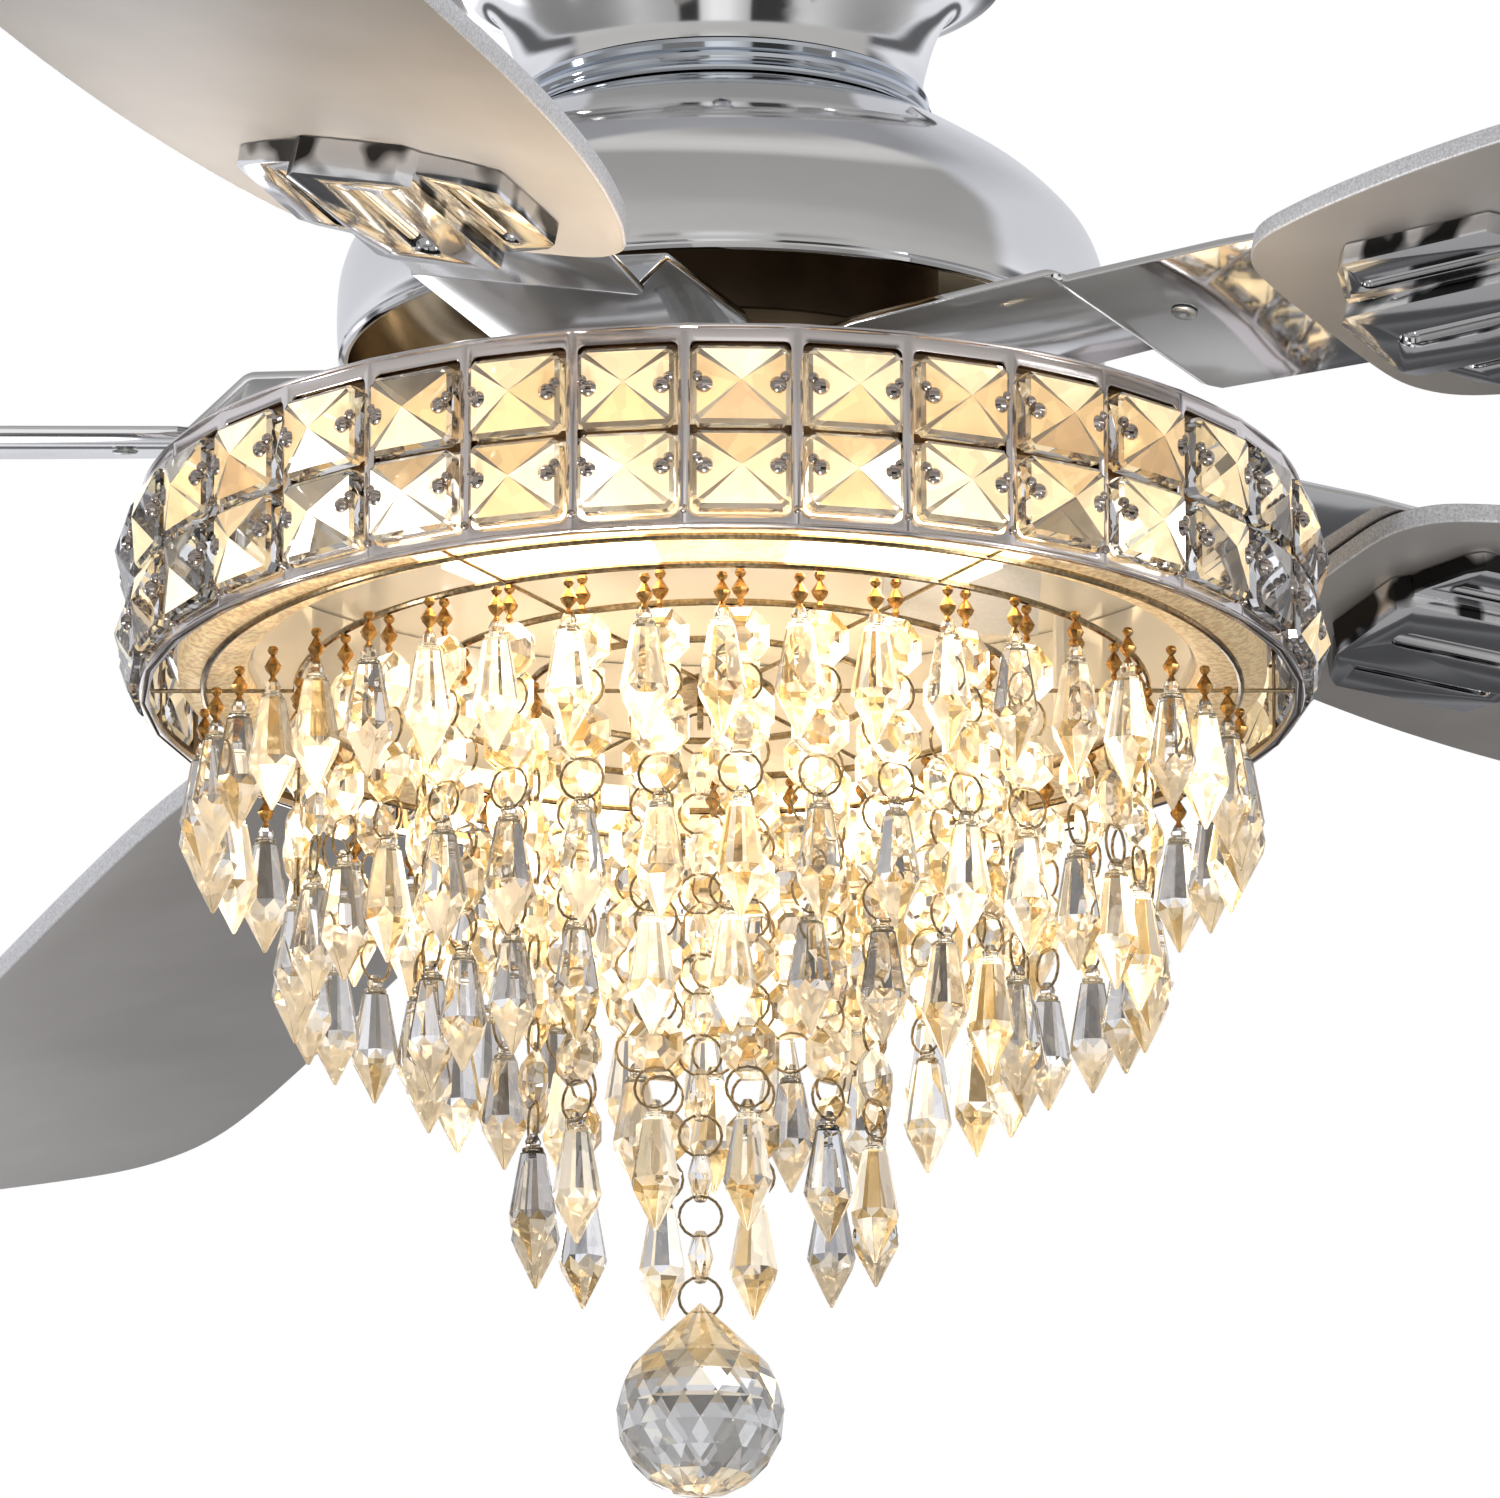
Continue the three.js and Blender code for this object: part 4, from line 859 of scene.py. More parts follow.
# Drop and depth of the top ring of painted shade inside the band; the drop also sets the windows'
# top.
SHADE_STRIP_DROP = 1.9
SHADE_STRIP_DEPTH = 1.5
_, drum_low, drum_high = span("drum_frame")
column_step = 360 / DRUM_COLUMNS
panel_half = DRUM_RADIUS * math.sin(math.radians(column_step / 2))
panel_flat = DRUM_RADIUS * math.cos(math.radians(column_step / 2))
sheet_inside = panel_flat - DRUM_WALL
window_low = drum_low + BOTTOM_BAND + CRYSTAL_GAP
window_high = drum_high - TOP_BAND - SHADE_STRIP_DROP - 0.1
row_middle = (window_low + window_high) / 2


def column_turn(column):
    return turned(-90 + DRUM_PHASE_DEGREES + column * column_step)


def flat_ring(inner, outer, low, high):
    """The profile of a ring with square edges."""
    return [(inner, low), (outer, low), (outer, high), (inner, high)]


def window_panel():
    """One column's sheet, drawn flat at the drum's radius: a frame round a window."""
    bm = bmesh.new()

    def corners(side, low, high):
        return [bm.verts.new(Vector((panel_flat, across, height)) * MM)
                for across, height in flat_ring(-side, side, low, high)]

    outer = corners(panel_half, drum_low, drum_high)
    inner = corners(panel_half - BAR_WIDTH / 2, drum_low + BOTTOM_BAND, drum_high - TOP_BAND)
    bm.faces.new(inner)
    bevel(bm, inner, WINDOW_CORNER, 5, "VERTICES")
    window = bm.faces[:][0]
    rim = window.edges[:]
    bmesh.ops.delete(bm, geom=[window], context="FACES_ONLY")
    outer_edges = [bm.edges.new((a, b)) for a, b in zip(outer, outer[1:] + outer[:1])]
    bmesh.ops.bridge_loops(bm, edges=rim + outer_edges)
    face_towards(bm, (1, 0, 0))
    return mesh_of(bm, "window_panel")


def drum_band():
    panel = window_panel()
    bm = bmesh.new()
    for column in range(DRUM_COLUMNS):
        stamp(bm, panel, column_turn(column))
    bmesh.ops.remove_doubles(bm, verts=bm.verts, dist=0.02 * MM)
    bmesh.ops.solidify(bm, geom=bm.faces[:], thickness=DRUM_WALL * MM)
    rounded(outwards(bm), SHEET_ROUND, 2, sharp_degrees=50)
    return bm


def arc(radius, level, wide, high, angles):
    """The part of a profile that runs round a centre, at the angles in degrees."""
    return [(radius + wide * math.cos(math.radians(angle)),
             level + high * math.sin(math.radians(angle))) for angle in angles]


def rim_ring(edge, inwards):
    """A rolled bead on an edge of the band, with a flange inwards."""
    nose = arc(DRUM_RADIUS - BEAD_INSET, edge, BEAD_RADIUS, BEAD_RADIUS, range(-90, 91, 30))
    flange = sheet_inside - inwards
    return spun(nose + [(flange, edge + BEAD_RADIUS), (flange, edge - BEAD_RADIUS)])


def paint_shade_on_walls(bm):
    """The cut edges and the inside of the sheet get a dark brown chrome: painted shade."""
    for face in bm.faces:
        middle = face.calc_center_median()
        out = Vector((middle.x, middle.y, 0)).normalized()
        if face.normal.dot(out) < 0.75:
            face.material_index = 1


band = drum_band()
paint_shade_on_walls(band)
for edge, inwards in ((drum_high - 0.7, 4.5), (drum_low + 0.7, 0.4)):
    stamp(band, mesh_of(rim_ring(edge, inwards), "rim_ring"))
# Two dark brown rings inside the band, at the tops of the windows and between the rows, stand where
# there is only shade: painted shade.
for low, high in ((drum_high - TOP_BAND - SHADE_STRIP_DROP + 0.4, drum_high - 1.5),
                  (row_middle - 0.2, row_middle + 1.9)):
    shade_strip = spun(flat_ring(sheet_inside - SHADE_STRIP_DEPTH, sheet_inside, low, high))
    for face in shade_strip.faces:
        face.material_index = 2
    stamp(band, mesh_of(shade_strip, "shade_strip"))
piece("drum_band", band, [band_chrome, window_wall_shade, shade_strip_metal], "fan_body",
      ["drum_frame"], smooth=25)

# %% [markdown]
# Each window holds two square crystals, one over the other. A crystal has a girdle, a shoulder and
# a four-sided point in front and a flatter one behind, so its diagonals cross as an X. It is a cube
# whose front and back faces are inset, pushed out and poked to a point. The numbers of its facets'
# shades count the drum's glasses, from clear, 0, to the painted glitter, 6. The warm shades are
# painted lamp light, given more often to the columns that face the front and back, where the strip
# is lit; the dark ones are painted shade, and a few lower crystals get one facet of painted
# glitter.

# %% The square crystals
CRYSTAL_FRONT = 5.6
CRYSTAL_BACK = 3.6
CRYSTAL_GIRDLE = 1.6
CRYSTAL_CORNER = 1.5
SHOULDER_IN = 1.0
SHOULDER_OUT = 0.9
ROW_GAP = 0.8
PAINTED_SHADE_GLASS, PAINTED_GLITTER_GLASS = 5, 6
PAINTED_SHADE_CHANCE = 0.22
# Columns of the lower row with one side facet of painted glitter, and that side.
PAINTED_GLITTER_COLUMNS = {32: -1, 1: 1, 4: 1, 29: 1, 30: -1}
PAINTED_GLITTER_AREA = 4e-5
FACET_SHADES = {
    "upper": {"top": (2, 2, 1), "side": (3, 2, 3), "bottom": (2, 4, 3)},
    "lower": {"top": (3, 4, 2), "side": (2, 1, 2), "bottom": (3, 2, 1)},
}
COOL_SHADES = (0, 0, 0, PAINTED_SHADE_GLASS, 2)
WARM_AT_SIDES = 0.12
WARM_FADE = 1.5


def square_crystal(width, height):
    """Points along +X; its front point is cut in four large and four small facets."""
    bm = bmesh.new()
    bmesh.ops.create_cube(bm, size=1)
    size = Vector((2 * CRYSTAL_GIRDLE, width, height)) * MM
    bmesh.ops.scale(bm, vec=size, verts=bm.verts)
    bevel(bm, [edge for edge in bm.edges
               if abs(edge.verts[0].co.x - edge.verts[1].co.x) > CRYSTAL_GIRDLE * MM],
          CRYSTAL_CORNER, 1)
    for front, reach in ((1, CRYSTAL_FRONT), (-1, CRYSTAL_BACK)):
        table = max(bm.faces, key=lambda face: front * face.normal.x * face.calc_area())
        bmesh.ops.inset_individual(bm, faces=[table], thickness=SHOULDER_IN * MM,
                                   depth=SHOULDER_OUT * MM)
        poked = bmesh.ops.poke(bm, faces=[table])
        point = front * (reach - CRYSTAL_GIRDLE - SHOULDER_OUT) * MM
        bmesh.ops.translate(bm, vec=(point, 0, 0), verts=poked["verts"])
    return bm


def shade_facets(bm, row, warm, rng):
    """Gives each large front facet a shade of painted light; the rest stays clear, with a little
    painted shade.
    """
    large = 0.5 * max(face.calc_area() for face in bm.faces)
    for face in bm.faces:
        if face.calc_area() < large or face.normal.x < 0.2:
            face.material_index = PAINTED_SHADE_GLASS if rng.random() < PAINTED_SHADE_CHANCE else 0
            continue
        side = "top" if face.normal.z > 0 else "bottom"
        if abs(face.normal.y) > abs(face.normal.z):
            side = "side"
        shades = FACET_SHADES[row][side] if rng.random() < warm else COOL_SHADES
        face.material_index = rng.choice(shades)


def crystal_row(row, low, high, rng):
    side = panel_half - BAR_WIDTH / 2 - CRYSTAL_GAP
    out = moved(DRUM_RADIUS + 0.5, 0, (low + high) / 2)
    bm = bmesh.new()
    for column in range(DRUM_COLUMNS):
        turn = column_turn(column)
        facing = abs((turn @ Vector((1, 0, 0))).y)
        crystal = square_crystal(2 * side, high - low)
        # Columns facing the front and back, where the strip is lit, more often get the warm shades
        # of painted light.
        warm = WARM_AT_SIDES + (1 - WARM_AT_SIDES) * facing ** WARM_FADE
        shade_facets(crystal, row, warm, rng)
        # A few lower crystals get one front facet of painted glitter.
        if row == "lower" and column in PAINTED_GLITTER_COLUMNS:
            fronts = [face for face in crystal.faces
                      if face.normal.x > 0.5 and face.calc_area() > PAINTED_GLITTER_AREA]
            brightest = max(fronts, key=lambda face: face.normal.y * PAINTED_GLITTER_COLUMNS[column])
            brightest.material_index = PAINTED_GLITTER_GLASS
        stamp(bm, mesh_of(crystal, "square_crystal"), turn @ out)
    return bm


for row, low, high, seed in (("lower", window_low, row_middle - ROW_GAP, 12),
                             ("upper", row_middle + ROW_GAP, window_high, 11)):
    squares = crystal_row(row, low, high, random.Random(seed))
    piece(f"crystal_squares_{row}", squares, drum_glass, "fan_body",
          [f"crystal_row_{row}"], smooth=0)

# %% [markdown]
# Small round pins hold the crystals: a larger and a smaller ball at each side of each crystal,
# and one ball at the foot of each bar.

# %% The drum's pins
def ball_pin(radius):
    bm = bmesh.new()
    bmesh.ops.create_uvsphere(bm, u_segments=10, v_segments=7, radius=radius * MM)
    return mesh_of(bm, "ball_pin")


def drum_pins():
    bm = bmesh.new()
    pin, small, foot = [ball_pin(radius) for radius in (2.1, 1.3, 1.0)]
    side = panel_half - BAR_WIDTH / 2 - 3.2
    for column in range(DRUM_COLUMNS):
        turn = column_turn(column)
        for low, high in ((window_low, row_middle), (row_middle, window_high)):
            middle = (low + high) / 2
            for across in (-side, side):
                stamp(bm, pin, turn @ moved(DRUM_RADIUS + 3.0, across, middle))
                inward = math.copysign(1.6, across)
                stamp(bm, small, turn @ moved(DRUM_RADIUS + 2.6, across + inward, middle + 2.2))
        bar = turn @ turned(column_step / 2)
        stamp(bm, foot, bar @ moved(DRUM_RADIUS + 0.3, 0, drum_low + BOTTOM_BAND + 1.0))
    return bm


piece("drum_pins", drum_pins(), [pin_metal], "fan_body")

# %% [markdown]
# Inside the drum are the white pan, the bright reflector band, the carrier and the glowing strip
# with its lamp boards. All are turned but the carrier, which stays as it was built, with its
# posts.

# %% The light inside
REFLECTOR_WALL = 1.2
STRIP_WIDTH = 16
STRIP_DOME = 2.4
BOARD_INNER = 95.5
BOARD_OUTER = 110
BOARD_THICKNESS = 1.8


def light_pan_disc():
    radius, low, top = span("light_pan")
    return spun([(SHAFT_HOLE, top), (radius - 6, top), (radius - 5, top - 0.3),
                 (radius - 0.4, top - 0.3), (radius - 0.2, low), (SHAFT_HOLE, low)])


def reflector_wall():
    radius, low, top = span("reflector_band")
    return spun(flat_ring(radius - REFLECTOR_WALL, radius, low, top))


def glow_strip():
    """The strip's frosted cover, domed underneath."""
    radius, low, top = span("led_ring")
    half = STRIP_WIDTH / 2
    dome = arc(radius - half, low + STRIP_DOME, -half, -STRIP_DOME, range(0, 181, 20))
    return spun(dome + [(radius, top), (radius - STRIP_WIDTH, top)])


def lit_boards():
    """Two arcs of lamp board inside the strip, in front and behind, each dark in its middle."""
    _, low, _ = span("led_ring")
    section = flat_ring(BOARD_INNER, BOARD_OUTER, low + 0.1, low + 0.1 + BOARD_THICKNESS)
    bm = bmesh.new()
    for middle in (-90, 90):
        board = bmesh.new()
        face = board.faces.new([board.verts.new((radius * MM, 0, height * MM))
                                for radius, height in section])
        bmesh.ops.spin(board, geom=[face] + face.edges[:] + face.verts[:], cent=(0, 0, 0),
                       axis=(0, 0, 1), angle=math.radians(2 * LIT_TO_DEGREES), steps=36)
        stamp(bm, mesh_of(outwards(board), "lamp_board"), turned(middle - LIT_TO_DEGREES))
    return bm


piece("lamp_boards", lit_boards(), [diffuser], "fan_body")
piece("pan_disc", light_pan_disc(), [paint], "fan_body", ["light_pan"])
piece("reflector_wall", reflector_wall(), [paint], "fan_body", ["reflector_band"])
piece("glow_strip", glow_strip(), [diffuser], "fan_body", ["led_ring"])

# %% [markdown]
# The crystals hang from thin welded rings on spokes. Every wire is round, so a small circle is
# spun about the axis for a ring, and a thin cylinder makes a spoke. A tier's line gives its
# name, strands, radius, reach below the drum, beads, first angle and shift to the side.

# %% The hanging rings
TIERS = [
    ("tier_1", 43, 119, 44.4, 0, 0, 0),
    ("tier_2", 34, 97.6, 80.2, 2, 2.4, 0),
    ("tier_3", 24, 69, 98.4, 3, 1.7, 0),
    ("tier_4", 12, 40.2, 136.5, 5, 14, -4),
]
PENDANT_ASIDE = -5
WIRE_RADIUS = 0.85
SPOKE_RADIUS = 0.5
SPOKES = 6
_, hanger_low, hanger_high = span("hanger_frame")
hanger_level = hanger_high - 1.0


def spoke(length):
    bm = bmesh.new()
    bmesh.ops.create_cone(bm, cap_ends=True, segments=8, radius1=SPOKE_RADIUS * MM,
                          radius2=SPOKE_RADIUS * MM, depth=length * MM)
    laid = moved(length / 2, 0, 0) @ turned(90, "Y")
    bmesh.ops.transform(bm, matrix=laid, verts=bm.verts)
    return mesh_of(bm, "spoke")


def hanging_rings():
    bm = bmesh.new()
    for _, _, radius, _, _, _, aside in TIERS:
        ring = spun(arc(radius, hanger_level, WIRE_RADIUS, WIRE_RADIUS, range(0, 360, 45)), 96)
        stamp(bm, mesh_of(ring, "wire_ring"), moved(aside, 0, 0))
    bar = spoke(DRUM_RADIUS - 2.5)
    for index in range(SPOKES):
        stamp(bm, bar, moved(0, 0, hanger_level - 0.1) @ turned(360 / SPOKES * index))
    top = hanger_high
    hub = spun([(0, top), (11.4, top), (12, top - 0.6), (12, top - 1.6), (11.4, top - 2),
                (0, top - 2)], 48)
    stamp(bm, mesh_of(hub, "hub"))
    eye = spun(flat_ring(1.7, 3.9, -0.7, 0.7), 20)
    stamp(bm, mesh_of(eye, "eye"), moved(PENDANT_ASIDE, 0, hanger_low + 4) @ turned(90, "Y"))
    return bm


piece("hanging_rings", hanging_rings(), [wire], "fan_body", ["hanger_frame"])

# %% [markdown]
# Four cut and turned shapes repeat through the tiers. The drop is a long eight-sided prism that
# widens downwards and ends in a point, the bead is a flat octagon with a bevelled rim, the pin is
# a small brass bow, and the link is a small wire ring. They are made once and stamped, the
# crystals in a few differently shaded copies.

# %% Drop, bead, pin and link
DROP_SIDES = 8
DROP_LENGTH = 30.5
DROP_WIDTH = 11.2
DROP_GIRDLE = 10.5
BEAD_WIDTH = 14.0
BEAD_GIRDLE = 1.6
BEAD_CUTS = ((2.6, 1.7), (1.6, 0.5))
LINK_RADIUS = 4.9
LINK_WIRE = 0.34
# The drop and bead shades other than clear are painted light and shade: warm lamp light, dark room
# and bright glitter seen in clear glass.
CLEAR, PAINTED_SHADE, CREAM, AMBER, PAINTED_GLITTER = range(5)
LAMP_LIT_BODY = (CLEAR, CREAM, PAINTED_GLITTER, PAINTED_SHADE, AMBER, CREAM, CLEAR, PAINTED_SHADE)
LAMP_LIT_POINT = (CREAM, CREAM, PAINTED_GLITTER, AMBER, CREAM, AMBER)
DIM_BODY = (CLEAR, CLEAR, PAINTED_SHADE, CLEAR, CLEAR, PAINTED_SHADE, CLEAR)
DIM_POINT = (CREAM, CREAM, CREAM, CREAM, CREAM, AMBER)
BEAD_SHADES = (CLEAR, CREAM, AMBER, PAINTED_GLITTER, PAINTED_SHADE, CREAM, AMBER, PAINTED_SHADE)


def hull_of(levels, sides):
    """A skin round rings of points: [radius, height, share of a step turned]."""
    bm = bmesh.new()
    for radius, height, shift in levels:
        turn = Matrix.Rotation(2 * math.pi / sides * shift, 4, "Z")
        place = Matrix.Translation((0, 0, height * MM)) @ turn
        if radius:
            bmesh.ops.create_circle(bm, segments=sides, radius=radius * MM, matrix=place)
        else:
            bmesh.ops.create_vert(bm, co=place.translation)
    wrap(bm)
    bmesh.ops.dissolve_limit(bm, angle_limit=math.radians(1), verts=bm.verts, edges=bm.edges)
    return outwards(bm)


def cut_drop(body_shades, point_shades):
    """Stands on its point: a cream point, a zigzag girdle, a long clear body and a collar; the
    point's cream and amber, and the body's tinted and dark facets, are painted light and shade.
    """
    half = DROP_WIDTH / 2
    body = hull_of([(0.35, 0, 0), (half - 0.45, 9.4, 0.5), (half, 11.6, 0), (3.0, 26.0, 0)],
                   DROP_SIDES)
    for face in body.faces:
        on_point = face.calc_center_median().z < DROP_GIRDLE * MM
        face.material_index = rng.choice(point_shades if on_point else body_shades)
    collar = [(2.4, 26.0, 0), (2.6, 26.5, 0), (2.6, 27.1, 0), (1.7, 27.6, 0)]
    neck = [(1.5, 27.4, 0), (1.9, 28.8, 0), (1.1, DROP_LENGTH, 0)]
    for levels in (collar, neck):
        stamp(body, mesh_of(hull_of(levels, DROP_SIDES), "drop_part"))
    return mesh_of(body, "cut_drop")


def octagon_bead(width):
    """A flat octagon in the XZ plane, with a small table on each side."""
    bm = bmesh.new()
    bmesh.ops.create_cone(bm, cap_ends=True, segments=8, radius1=width / 2 * MM,
                          radius2=width / 2 * MM, depth=BEAD_GIRDLE * MM)
    for side in (1, -1):
        cap = max(bm.faces, key=lambda face: side * face.normal.z * face.calc_area())
        for inwards, out in BEAD_CUTS:
            bmesh.ops.inset_individual(bm, faces=[cap], thickness=inwards * MM, depth=out * MM)
    for face in bm.faces:
        face.material_index = rng.choice(BEAD_SHADES)
    bmesh.ops.transform(bm, matrix=turned(90, "X") @ turned(22.5), verts=bm.verts)
    return mesh_of(bm, "octagon_bead")


def bow_pin():
    """A brass pin with a ball on top and a waist, 9 mm long, hanging from its top."""
    profile = [(0, 0), (1.0, -0.35), (1.3, -1.1), (1.0, -1.8), (0.45, -2.3), (2.0, -4.9),
               (1.6, -5.9), (0.5, -7.2), (0.9, -8.2), (0.4, -9), (0, -9)]
    return mesh_of(spun(profile, 8), "bow_pin")


def small_link():
    bm = spun(arc(LINK_RADIUS, 0, LINK_WIRE, LINK_WIRE, range(0, 360, 60)), 16)
    bmesh.ops.transform(bm, matrix=turned(90, "X"), verts=bm.verts)
    return mesh_of(bm, "small_link")


print("drop", DROP_LENGTH, "mm long, bead", BEAD_WIDTH, "mm wide")

# %% [markdown]
# A tier is a circle of strands. From the ring down, a strand has a pin, then its beads with a link
# under each, and last the drop. Each strand is turned a little about its own line, as hanging
# crystals are, so that their facets catch the light differently. Strands in front and behind, where
# the lamps shine through, get the drops with more painted lamp light more often.

# %% The four tiers
STRAND_TURN_DEGREES = 16
VARIANTS = 7
PIN_LENGTH = 9.0
SMALLER_BEAD = 0.6
LAMP_GLOW_AT_DRUM = 1.2
LAMP_GLOW_FADE = 150
rng = random.Random(5)


def variants(make, *values):
    return [make(*values) for _ in range(VARIANTS)]


def tier_strands(count, radius, reach, beads, phase, aside):
    crystals, links, pins = bmesh.new(), bmesh.new(), bmesh.new()
    tip = drum_low - reach
    drop_top = tip + DROP_LENGTH
    start = hanger_level - WIRE_RADIUS
    bead = "bead_small" if beads > 3 else "bead"
    width = BEAD_WIDTH - SMALLER_BEAD * (beads > 3)
    pitch = (start - PIN_LENGTH - drop_top) / max(beads, 1)
    for index in range(count):
        angle = math.radians(-90 + phase + 360 * index / count)
        base = (moved(radius * math.cos(angle) + aside, radius * math.sin(angle), 0)
                @ Matrix.Rotation(angle + math.pi / 2, 4, "Z"))
        swing = turned(rng.uniform(-STRAND_TURN_DEGREES, STRAND_TURN_DEGREES))

        def at(height):
            return base @ moved(0, 0, height) @ swing

        # Painted light: strands in front and behind, and nearer the drum, more often get drops with
        # more painted lamp light.
        lamp_glow_chance = abs(math.sin(angle)) * (LAMP_GLOW_AT_DRUM - reach / LAMP_GLOW_FADE)
        drop = "lamp_lit_drop" if rng.random() < lamp_glow_chance else "dim_drop"
        stamp(crystals, rng.choice(patterns[drop]), at(tip))
        stamp(pins, patterns["pin"], at(start if beads else drop_top + PIN_LENGTH - 0.8))
        for step in range(beads):
            centre = start - PIN_LENGTH - width / 2 - step * pitch
            stamp(crystals, rng.choice(patterns[bead]), at(centre))
            stamp(links, patterns["link"], at(centre - pitch / 2))
    return crystals, links, pins


patterns = {
    "lamp_lit_drop": variants(cut_drop, LAMP_LIT_BODY, LAMP_LIT_POINT),
    "dim_drop": variants(cut_drop, DIM_BODY, DIM_POINT),
    "bead": variants(octagon_bead, BEAD_WIDTH),
    "bead_small": variants(octagon_bead, BEAD_WIDTH - SMALLER_BEAD),
    "link": small_link(),
    "pin": bow_pin(),
}
for name, *layout in TIERS:
    crystals, links, pins = tier_strands(*layout)
    piece(f"{name}_crystals", crystals, drop_glass, "fan_body", [f"crystal_{name}"],
          smooth=0)
    piece(f"{name}_pins", pins, [pins_gold], "fan_body")
    if links.faces:
        piece(f"{name}_links", links, [wire], "fan_body")

# %% [markdown]
# The middle strand swings by itself: eight links with a small double cone of crystal between each
# two. It carries the ball.

# %% The middle strand
STRAND_LINKS = 8
_, strand_low, strand_high = span("pendant_strand")
highest_link = strand_high - LINK_RADIUS - LINK_WIRE
lowest_link = strand_low + LINK_RADIUS + LINK_WIRE
link_pitch = (highest_link - lowest_link) / (STRAND_LINKS - 1)


def double_cone(length):
    half = length / 2
    bm = hull_of([(1.2, -half, 0), (1.8, 1.2 - half, 0), (3.1, 0, 0.5), (1.8, half - 1.2, 0),
                  (1.2, half, 0)], DROP_SIDES)
    # Every third facet is cream: painted lamp light.
    for number, face in enumerate(bm.faces):
        face.material_index = CREAM if number % 3 == 0 else CLEAR
    return mesh_of(bm, "double_cone")


strand_links, strand_beads = bmesh.new(), bmesh.new()
cone = double_cone(link_pitch - 2 * LINK_RADIUS + 2.6)
for index in range(STRAND_LINKS):
    level = highest_link - index * link_pitch
    stamp(strand_links, patterns["link"], moved(PENDANT_ASIDE, 0, level))
    if index:
        stamp(strand_beads, cone, moved(PENDANT_ASIDE, 0, level + link_pitch / 2))
piece("strand_links", strand_links, [wire], "pendant")
piece("strand_beads", strand_beads, drop_glass, "pendant", ["pendant_strand"], smooth=0)

# %% [markdown]
# The ball is cut all over in triangles, with a blunt point on top that its link passes through.
# Rings of points, most turned half a step against the next, get the tightest skin round them, and
# that skin is the triangles. The numbers of the shades count the ball's glasses. Its cream and
# amber top, its cream foot, its few dark side facets and its one bright facet on the right are
# painted light, shade and a painted highlight.

# %% The ball
BALL_RADIUS = 19.2
BALL_SIDES = 15
BALL_RINGS = [(0, 0), (20, 0), (38, 0.5), (56, 0), (74, 0.5), (92, 0), (110, 0.5), (127, 0),
              # Painted light and shade: cream and amber facets on top and at the foot, a few dark
              # ones on the sides.
              (143, 0.5)]
TOP_SHADES = (2, 1, 2, 0, 1)
FOOT_SHADES = (1, 0, 1, 0)
SIDE_SHADES = (0, 0, 0, 3, 0, 0, 0)
PAINTED_HIGHLIGHT_SHADE = 4
PAINTED_HIGHLIGHT_SIDE = Vector((0.86, -0.46, 0.2))
_, ball_low, ball_high = span("crystal_ball")


def faceted_ball():
    levels = [(0, ball_high - ball_low - BALL_RADIUS - 0.2, 0)]
    for down, shift in BALL_RINGS:
        angle = math.radians(down)
        levels.append((BALL_RADIUS * math.sin(angle), -BALL_RADIUS * math.cos(angle), shift))
    levels.append((6.2, BALL_RADIUS * 0.93, 0))
    bm = hull_of(levels, BALL_SIDES)
    for number, face in enumerate(bm.faces):
        height = face.calc_center_median().z / (BALL_RADIUS * MM)
        shades = TOP_SHADES if height > 0.42 else FOOT_SHADES if height < -0.72 else SIDE_SHADES
        face.material_index = shades[number % len(shades)]
    # One facet facing right gets a painted highlight.
    brightest = max(bm.faces, key=lambda face: face.normal.dot(PAINTED_HIGHLIGHT_SIDE))
    brightest.material_index = PAINTED_HIGHLIGHT_SHADE
    hung = moved(PENDANT_ASIDE, 0, ball_low + BALL_RADIUS)
    bmesh.ops.transform(bm, matrix=hung, verts=bm.verts)
    return bm


piece("faceted_ball", faceted_ball(), ball_glass, "ball", ["crystal_ball"], smooth=0)

# %% [markdown]
# The pieces that stay as they were built still need their own finish: the bracket and its pin,
# the screws, the shaft and its nut, the bearings, the motor's core and winding, the two plastic
# boxes and the strip's carrier.

# %% Finishes for the built pieces
BUILT_FINISHES = {
    plated: ["ceiling_bracket", "bracket_pin", "shaft_nut", "centre_shaft", "bearing_upper",
             "bearing_lower"],
    chrome: ["canopy_screw_1", "canopy_screw_2"],
    core: ["stator_core"],
    copper: ["stator_winding"],
    black_plastic: ["receiver"],
    white_plastic: ["led_driver"],
    paint: ["led_carrier"],
}
for material, names in BUILT_FINISHES.items():
    for name in names:
        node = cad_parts[name]
        node.data.materials.clear()
        node.data.materials.append(material)
print("built pieces finished:", sum(len(names) for names in BUILT_FINISHES.values()))

# %% [markdown]
# The stage is plain: a pale floor far below, a white surrounding for the camera, and four soft
# lamps. The floor is one face with a faint cloudiness, as matt paint has.

# %% The floor
FLOOR_LEVEL = -2.45
FLOOR_SIZE = 4

finish = grained("floor_paint", (0.66, 0.66, 0.66), (0.70, 0.70, 0.70), 0.8, 3, Roughness=0.9)
sheet = bmesh.new()
bmesh.ops.create_grid(sheet, x_segments=1, y_segments=1, size=FLOOR_SIZE / 2)
bmesh.ops.translate(sheet, vec=(0, 0, FLOOR_LEVEL), verts=sheet.verts)
floor = placed("floor", mesh_of(sheet, "floor"))
floor.data.materials.append(finish.data)
print("floor at", FLOOR_LEVEL, "m")

# %% [markdown]
# Chrome and crystal need darker things to show their shape. A room full of cards would do, but a
# few rows of tones by direction are easier to place. So the surrounding that mirrors see has
# toned bands from underfoot to overhead and streaks below eye level, and a look through crystal
# also meets dark cards.

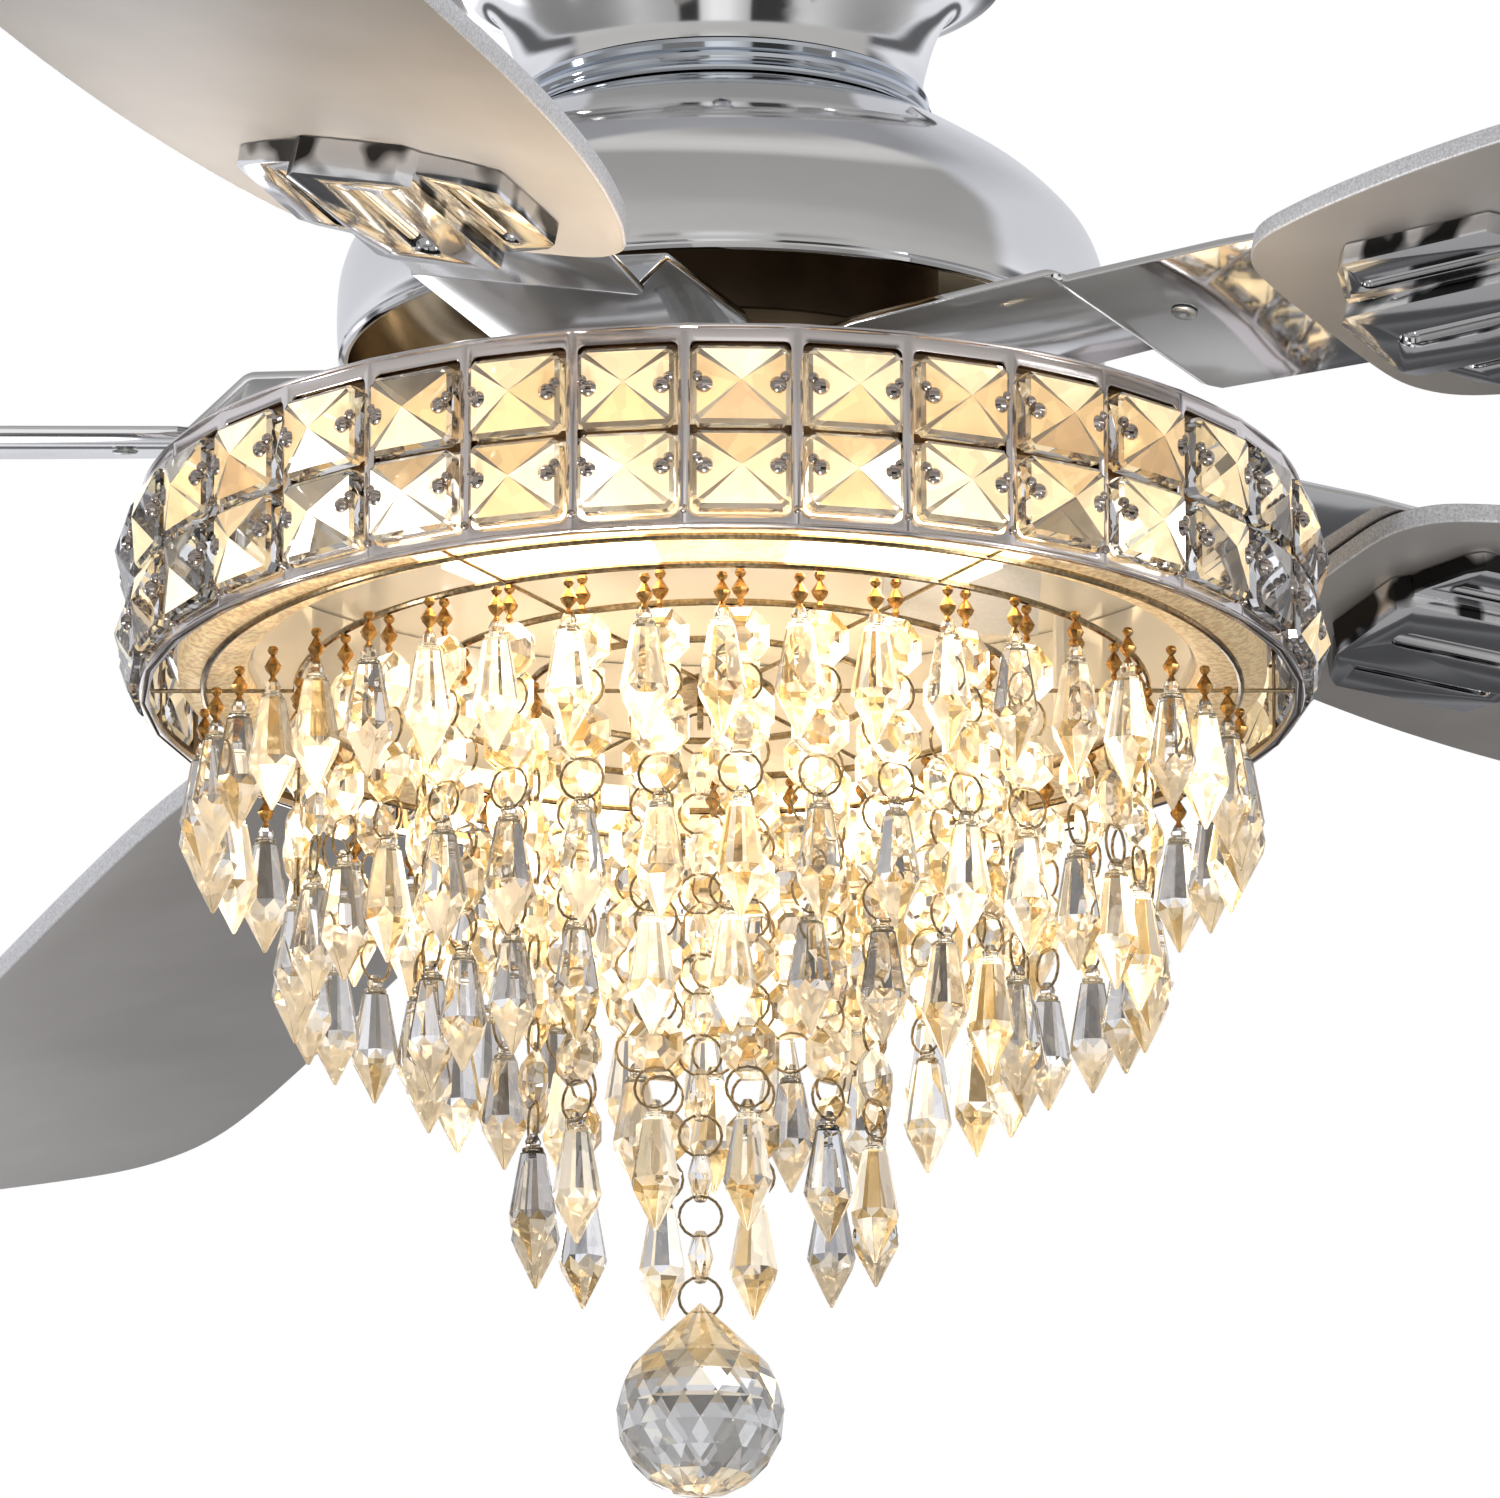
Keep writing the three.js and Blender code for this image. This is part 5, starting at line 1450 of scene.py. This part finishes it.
# %% The surrounding
BACK_TONES = [(0.0, 0.25), (0.14, 0.14), (0.2, 0.45), (0.28, 0.5), (0.36, 0.6), (0.44, 0.8),
              (0.5, 0.6), (0.55, 0.53), (0.6, 0.51), (0.65, 0.48), (0.69, 0.41), (0.74, 0.385),
              (0.895, 0.37), (0.925, 0.63), (0.955, 0.68), (0.98, 0.6), (1.0, 0.4)]
FRONT_TONES = [(0.0, 0.25), (0.16, 0.09), (0.2, 0.1), (0.225, 0.2), (0.275, 0.12), (0.345, 0.085),
               (0.375, 0.11), (0.42, 0.40), (0.455, 0.62), (0.49, 0.95), (0.53, 0.9),
               (0.545, 0.13), (0.575, 0.13), (0.595, 0.95), (0.64, 0.78), (0.78, 0.75),
               (0.88, 0.6), (0.94, 0.34), (0.98, 0.36), (1.0, 0.4)]
STREAKS = [(0.0, 0.25), (0.04, 0.28), (0.13, 0.62), (0.2, 0.5), (0.29, 0.42), (0.31, 0.04),
           (0.385, 0.04), (0.405, 0.75), (0.46, 1.0), (0.53, 0.95), (0.61, 0.6), (0.63, 0.5),
           (0.642, 0.04), (0.80, 0.05), (0.82, 0.6), (0.88, 0.72), (0.96, 0.5), (1.0, 0.3)]
CARDS = [(0.0, 0.6), (0.14, 1.0), (0.22, 0.25), (0.29, 1.0), (0.36, 0.25), (0.41, 0.95),
         (0.455, 0.4), (0.48, 0.85), (0.52, 0.85), (0.545, 0.35), (0.59, 0.95), (0.64, 0.2),
         (0.71, 1.0), (0.79, 0.22), (0.86, 1.0), (1.0, 0.6)]
CARD_LIGHT = 1.45
FRONT_TINT = (0.94, 0.95, 1.0)
BACK_TINT = (1.0, 0.985, 0.96)


def surrounding():
    """White to the camera; mirrors and crystals see a toned room."""
    world = bpy.data.worlds.new("studio")
    bpy.context.scene.world = world
    world.use_nodes = True
    graph = Graph(world.node_tree)
    graph.nodes.clear()
    camera_ray, _, _, glossy_ray, _, _, through_ray = graph.node("ShaderNodeLightPath")[:7]
    x, y, z = graph.split(graph.node("ShaderNodeTexCoord")[0])
    height = 0.5 + z * 0.5
    across = 0.5 + x * 0.5
    ragged = graph.node("ShaderNodeTexNoise", {"noise_dimensions": "1D"},
                        {"W": z * 70, "Detail": 4})[0]
    streaks = graph.tones(across + (ragged - 0.5) * graph.rise(x * x, 0.12, 0.4) * 0.28, STREAKS)
    low = (graph.rise(z, -0.6, -0.45) * (1 - graph.rise(z, 0.04, 0.075))
           * (1 - graph.rise(y, 0.45, 0.7)))
    back = graph.tones(height + x * 0.045, BACK_TONES)
    left_glow = ((1 - graph.rise(x, -0.1, 0.04)) * graph.rise(z, -0.3, -0.16)
                 * (1 - graph.rise(z, -0.06, 0.0)))
    front = graph.tones(height, FRONT_TONES) * (1 + left_glow * 1.1)
    front = front * (1 - through_ray * (1 - graph.tones(across, CARDS) * CARD_LIGHT))
    ahead = graph.rise(y, -0.06, 0.1)
    toned = graph.mixed(
        (back * far * (1 - ahead) + front * near * ahead) * (1 - low) + streaks * low
        for far, near in zip(BACK_TINT, FRONT_TINT))
    mirrored, plain, seen = [graph.node("ShaderNodeBackground", None, {"Color": color})[0]
                             for color in (toned, (0.62, 0.62, 0.63), (1, 1, 1))]
    either = glossy_ray.math("MAXIMUM", glossy_ray, through_ray)
    room = graph.node("ShaderNodeMixShader", None, {0: either, 1: plain, 2: mirrored})[0]
    whole = graph.node("ShaderNodeMixShader", None, {0: camera_ray, 1: room, 2: seen})[0]
    graph.node("ShaderNodeOutputWorld", None, {"Surface": whole})


surrounding()
print("tones in the surrounding:", len(BACK_TONES + FRONT_TONES + STREAKS + CARDS))

# %% [markdown]
# Two broad lamps light the fan from its sides. A weak one behind it and a narrow warm one below
# give the undersides of the blades the shine that they have in the photograph.

# %% The lamps
MIDDLE = (0, 0, -0.15)


def soft_lamp(name, place, aim, size, watts, spread_degrees=180, color=(1, 1, 1)):
    data = bpy.data.lights.new(name, "AREA")
    data.shape = "DISK"
    data.size = size
    data.energy = watts
    data.color = color
    data.spread = math.radians(spread_degrees)
    aimed = (Vector(aim) - Vector(place)).to_track_quat("-Z", "Y").to_matrix().to_4x4()
    placed(name, data).matrix_world = Matrix.Translation(place) @ aimed


soft_lamp("left_lamp", (-2.9, -0.2, -0.7), MIDDLE, 0.5, 17)
soft_lamp("right_lamp", (2.4, -1.4, -1.0), MIDDLE, 0.8, 11)
soft_lamp("blade_lamp", (-0.365, 1.9, -0.474), (-0.088, -0.255, -0.12), 0.5, 0.045, 30)
soft_lamp("warm_lamp", (-0.35, -0.62, -2.0), (-0.055, -0.16, -0.12), 0.2, 0.4, 10,
          (1.0, 0.88, 0.76))
bpy.context.scene.view_settings.view_transform = "Standard"
print("stage ready")
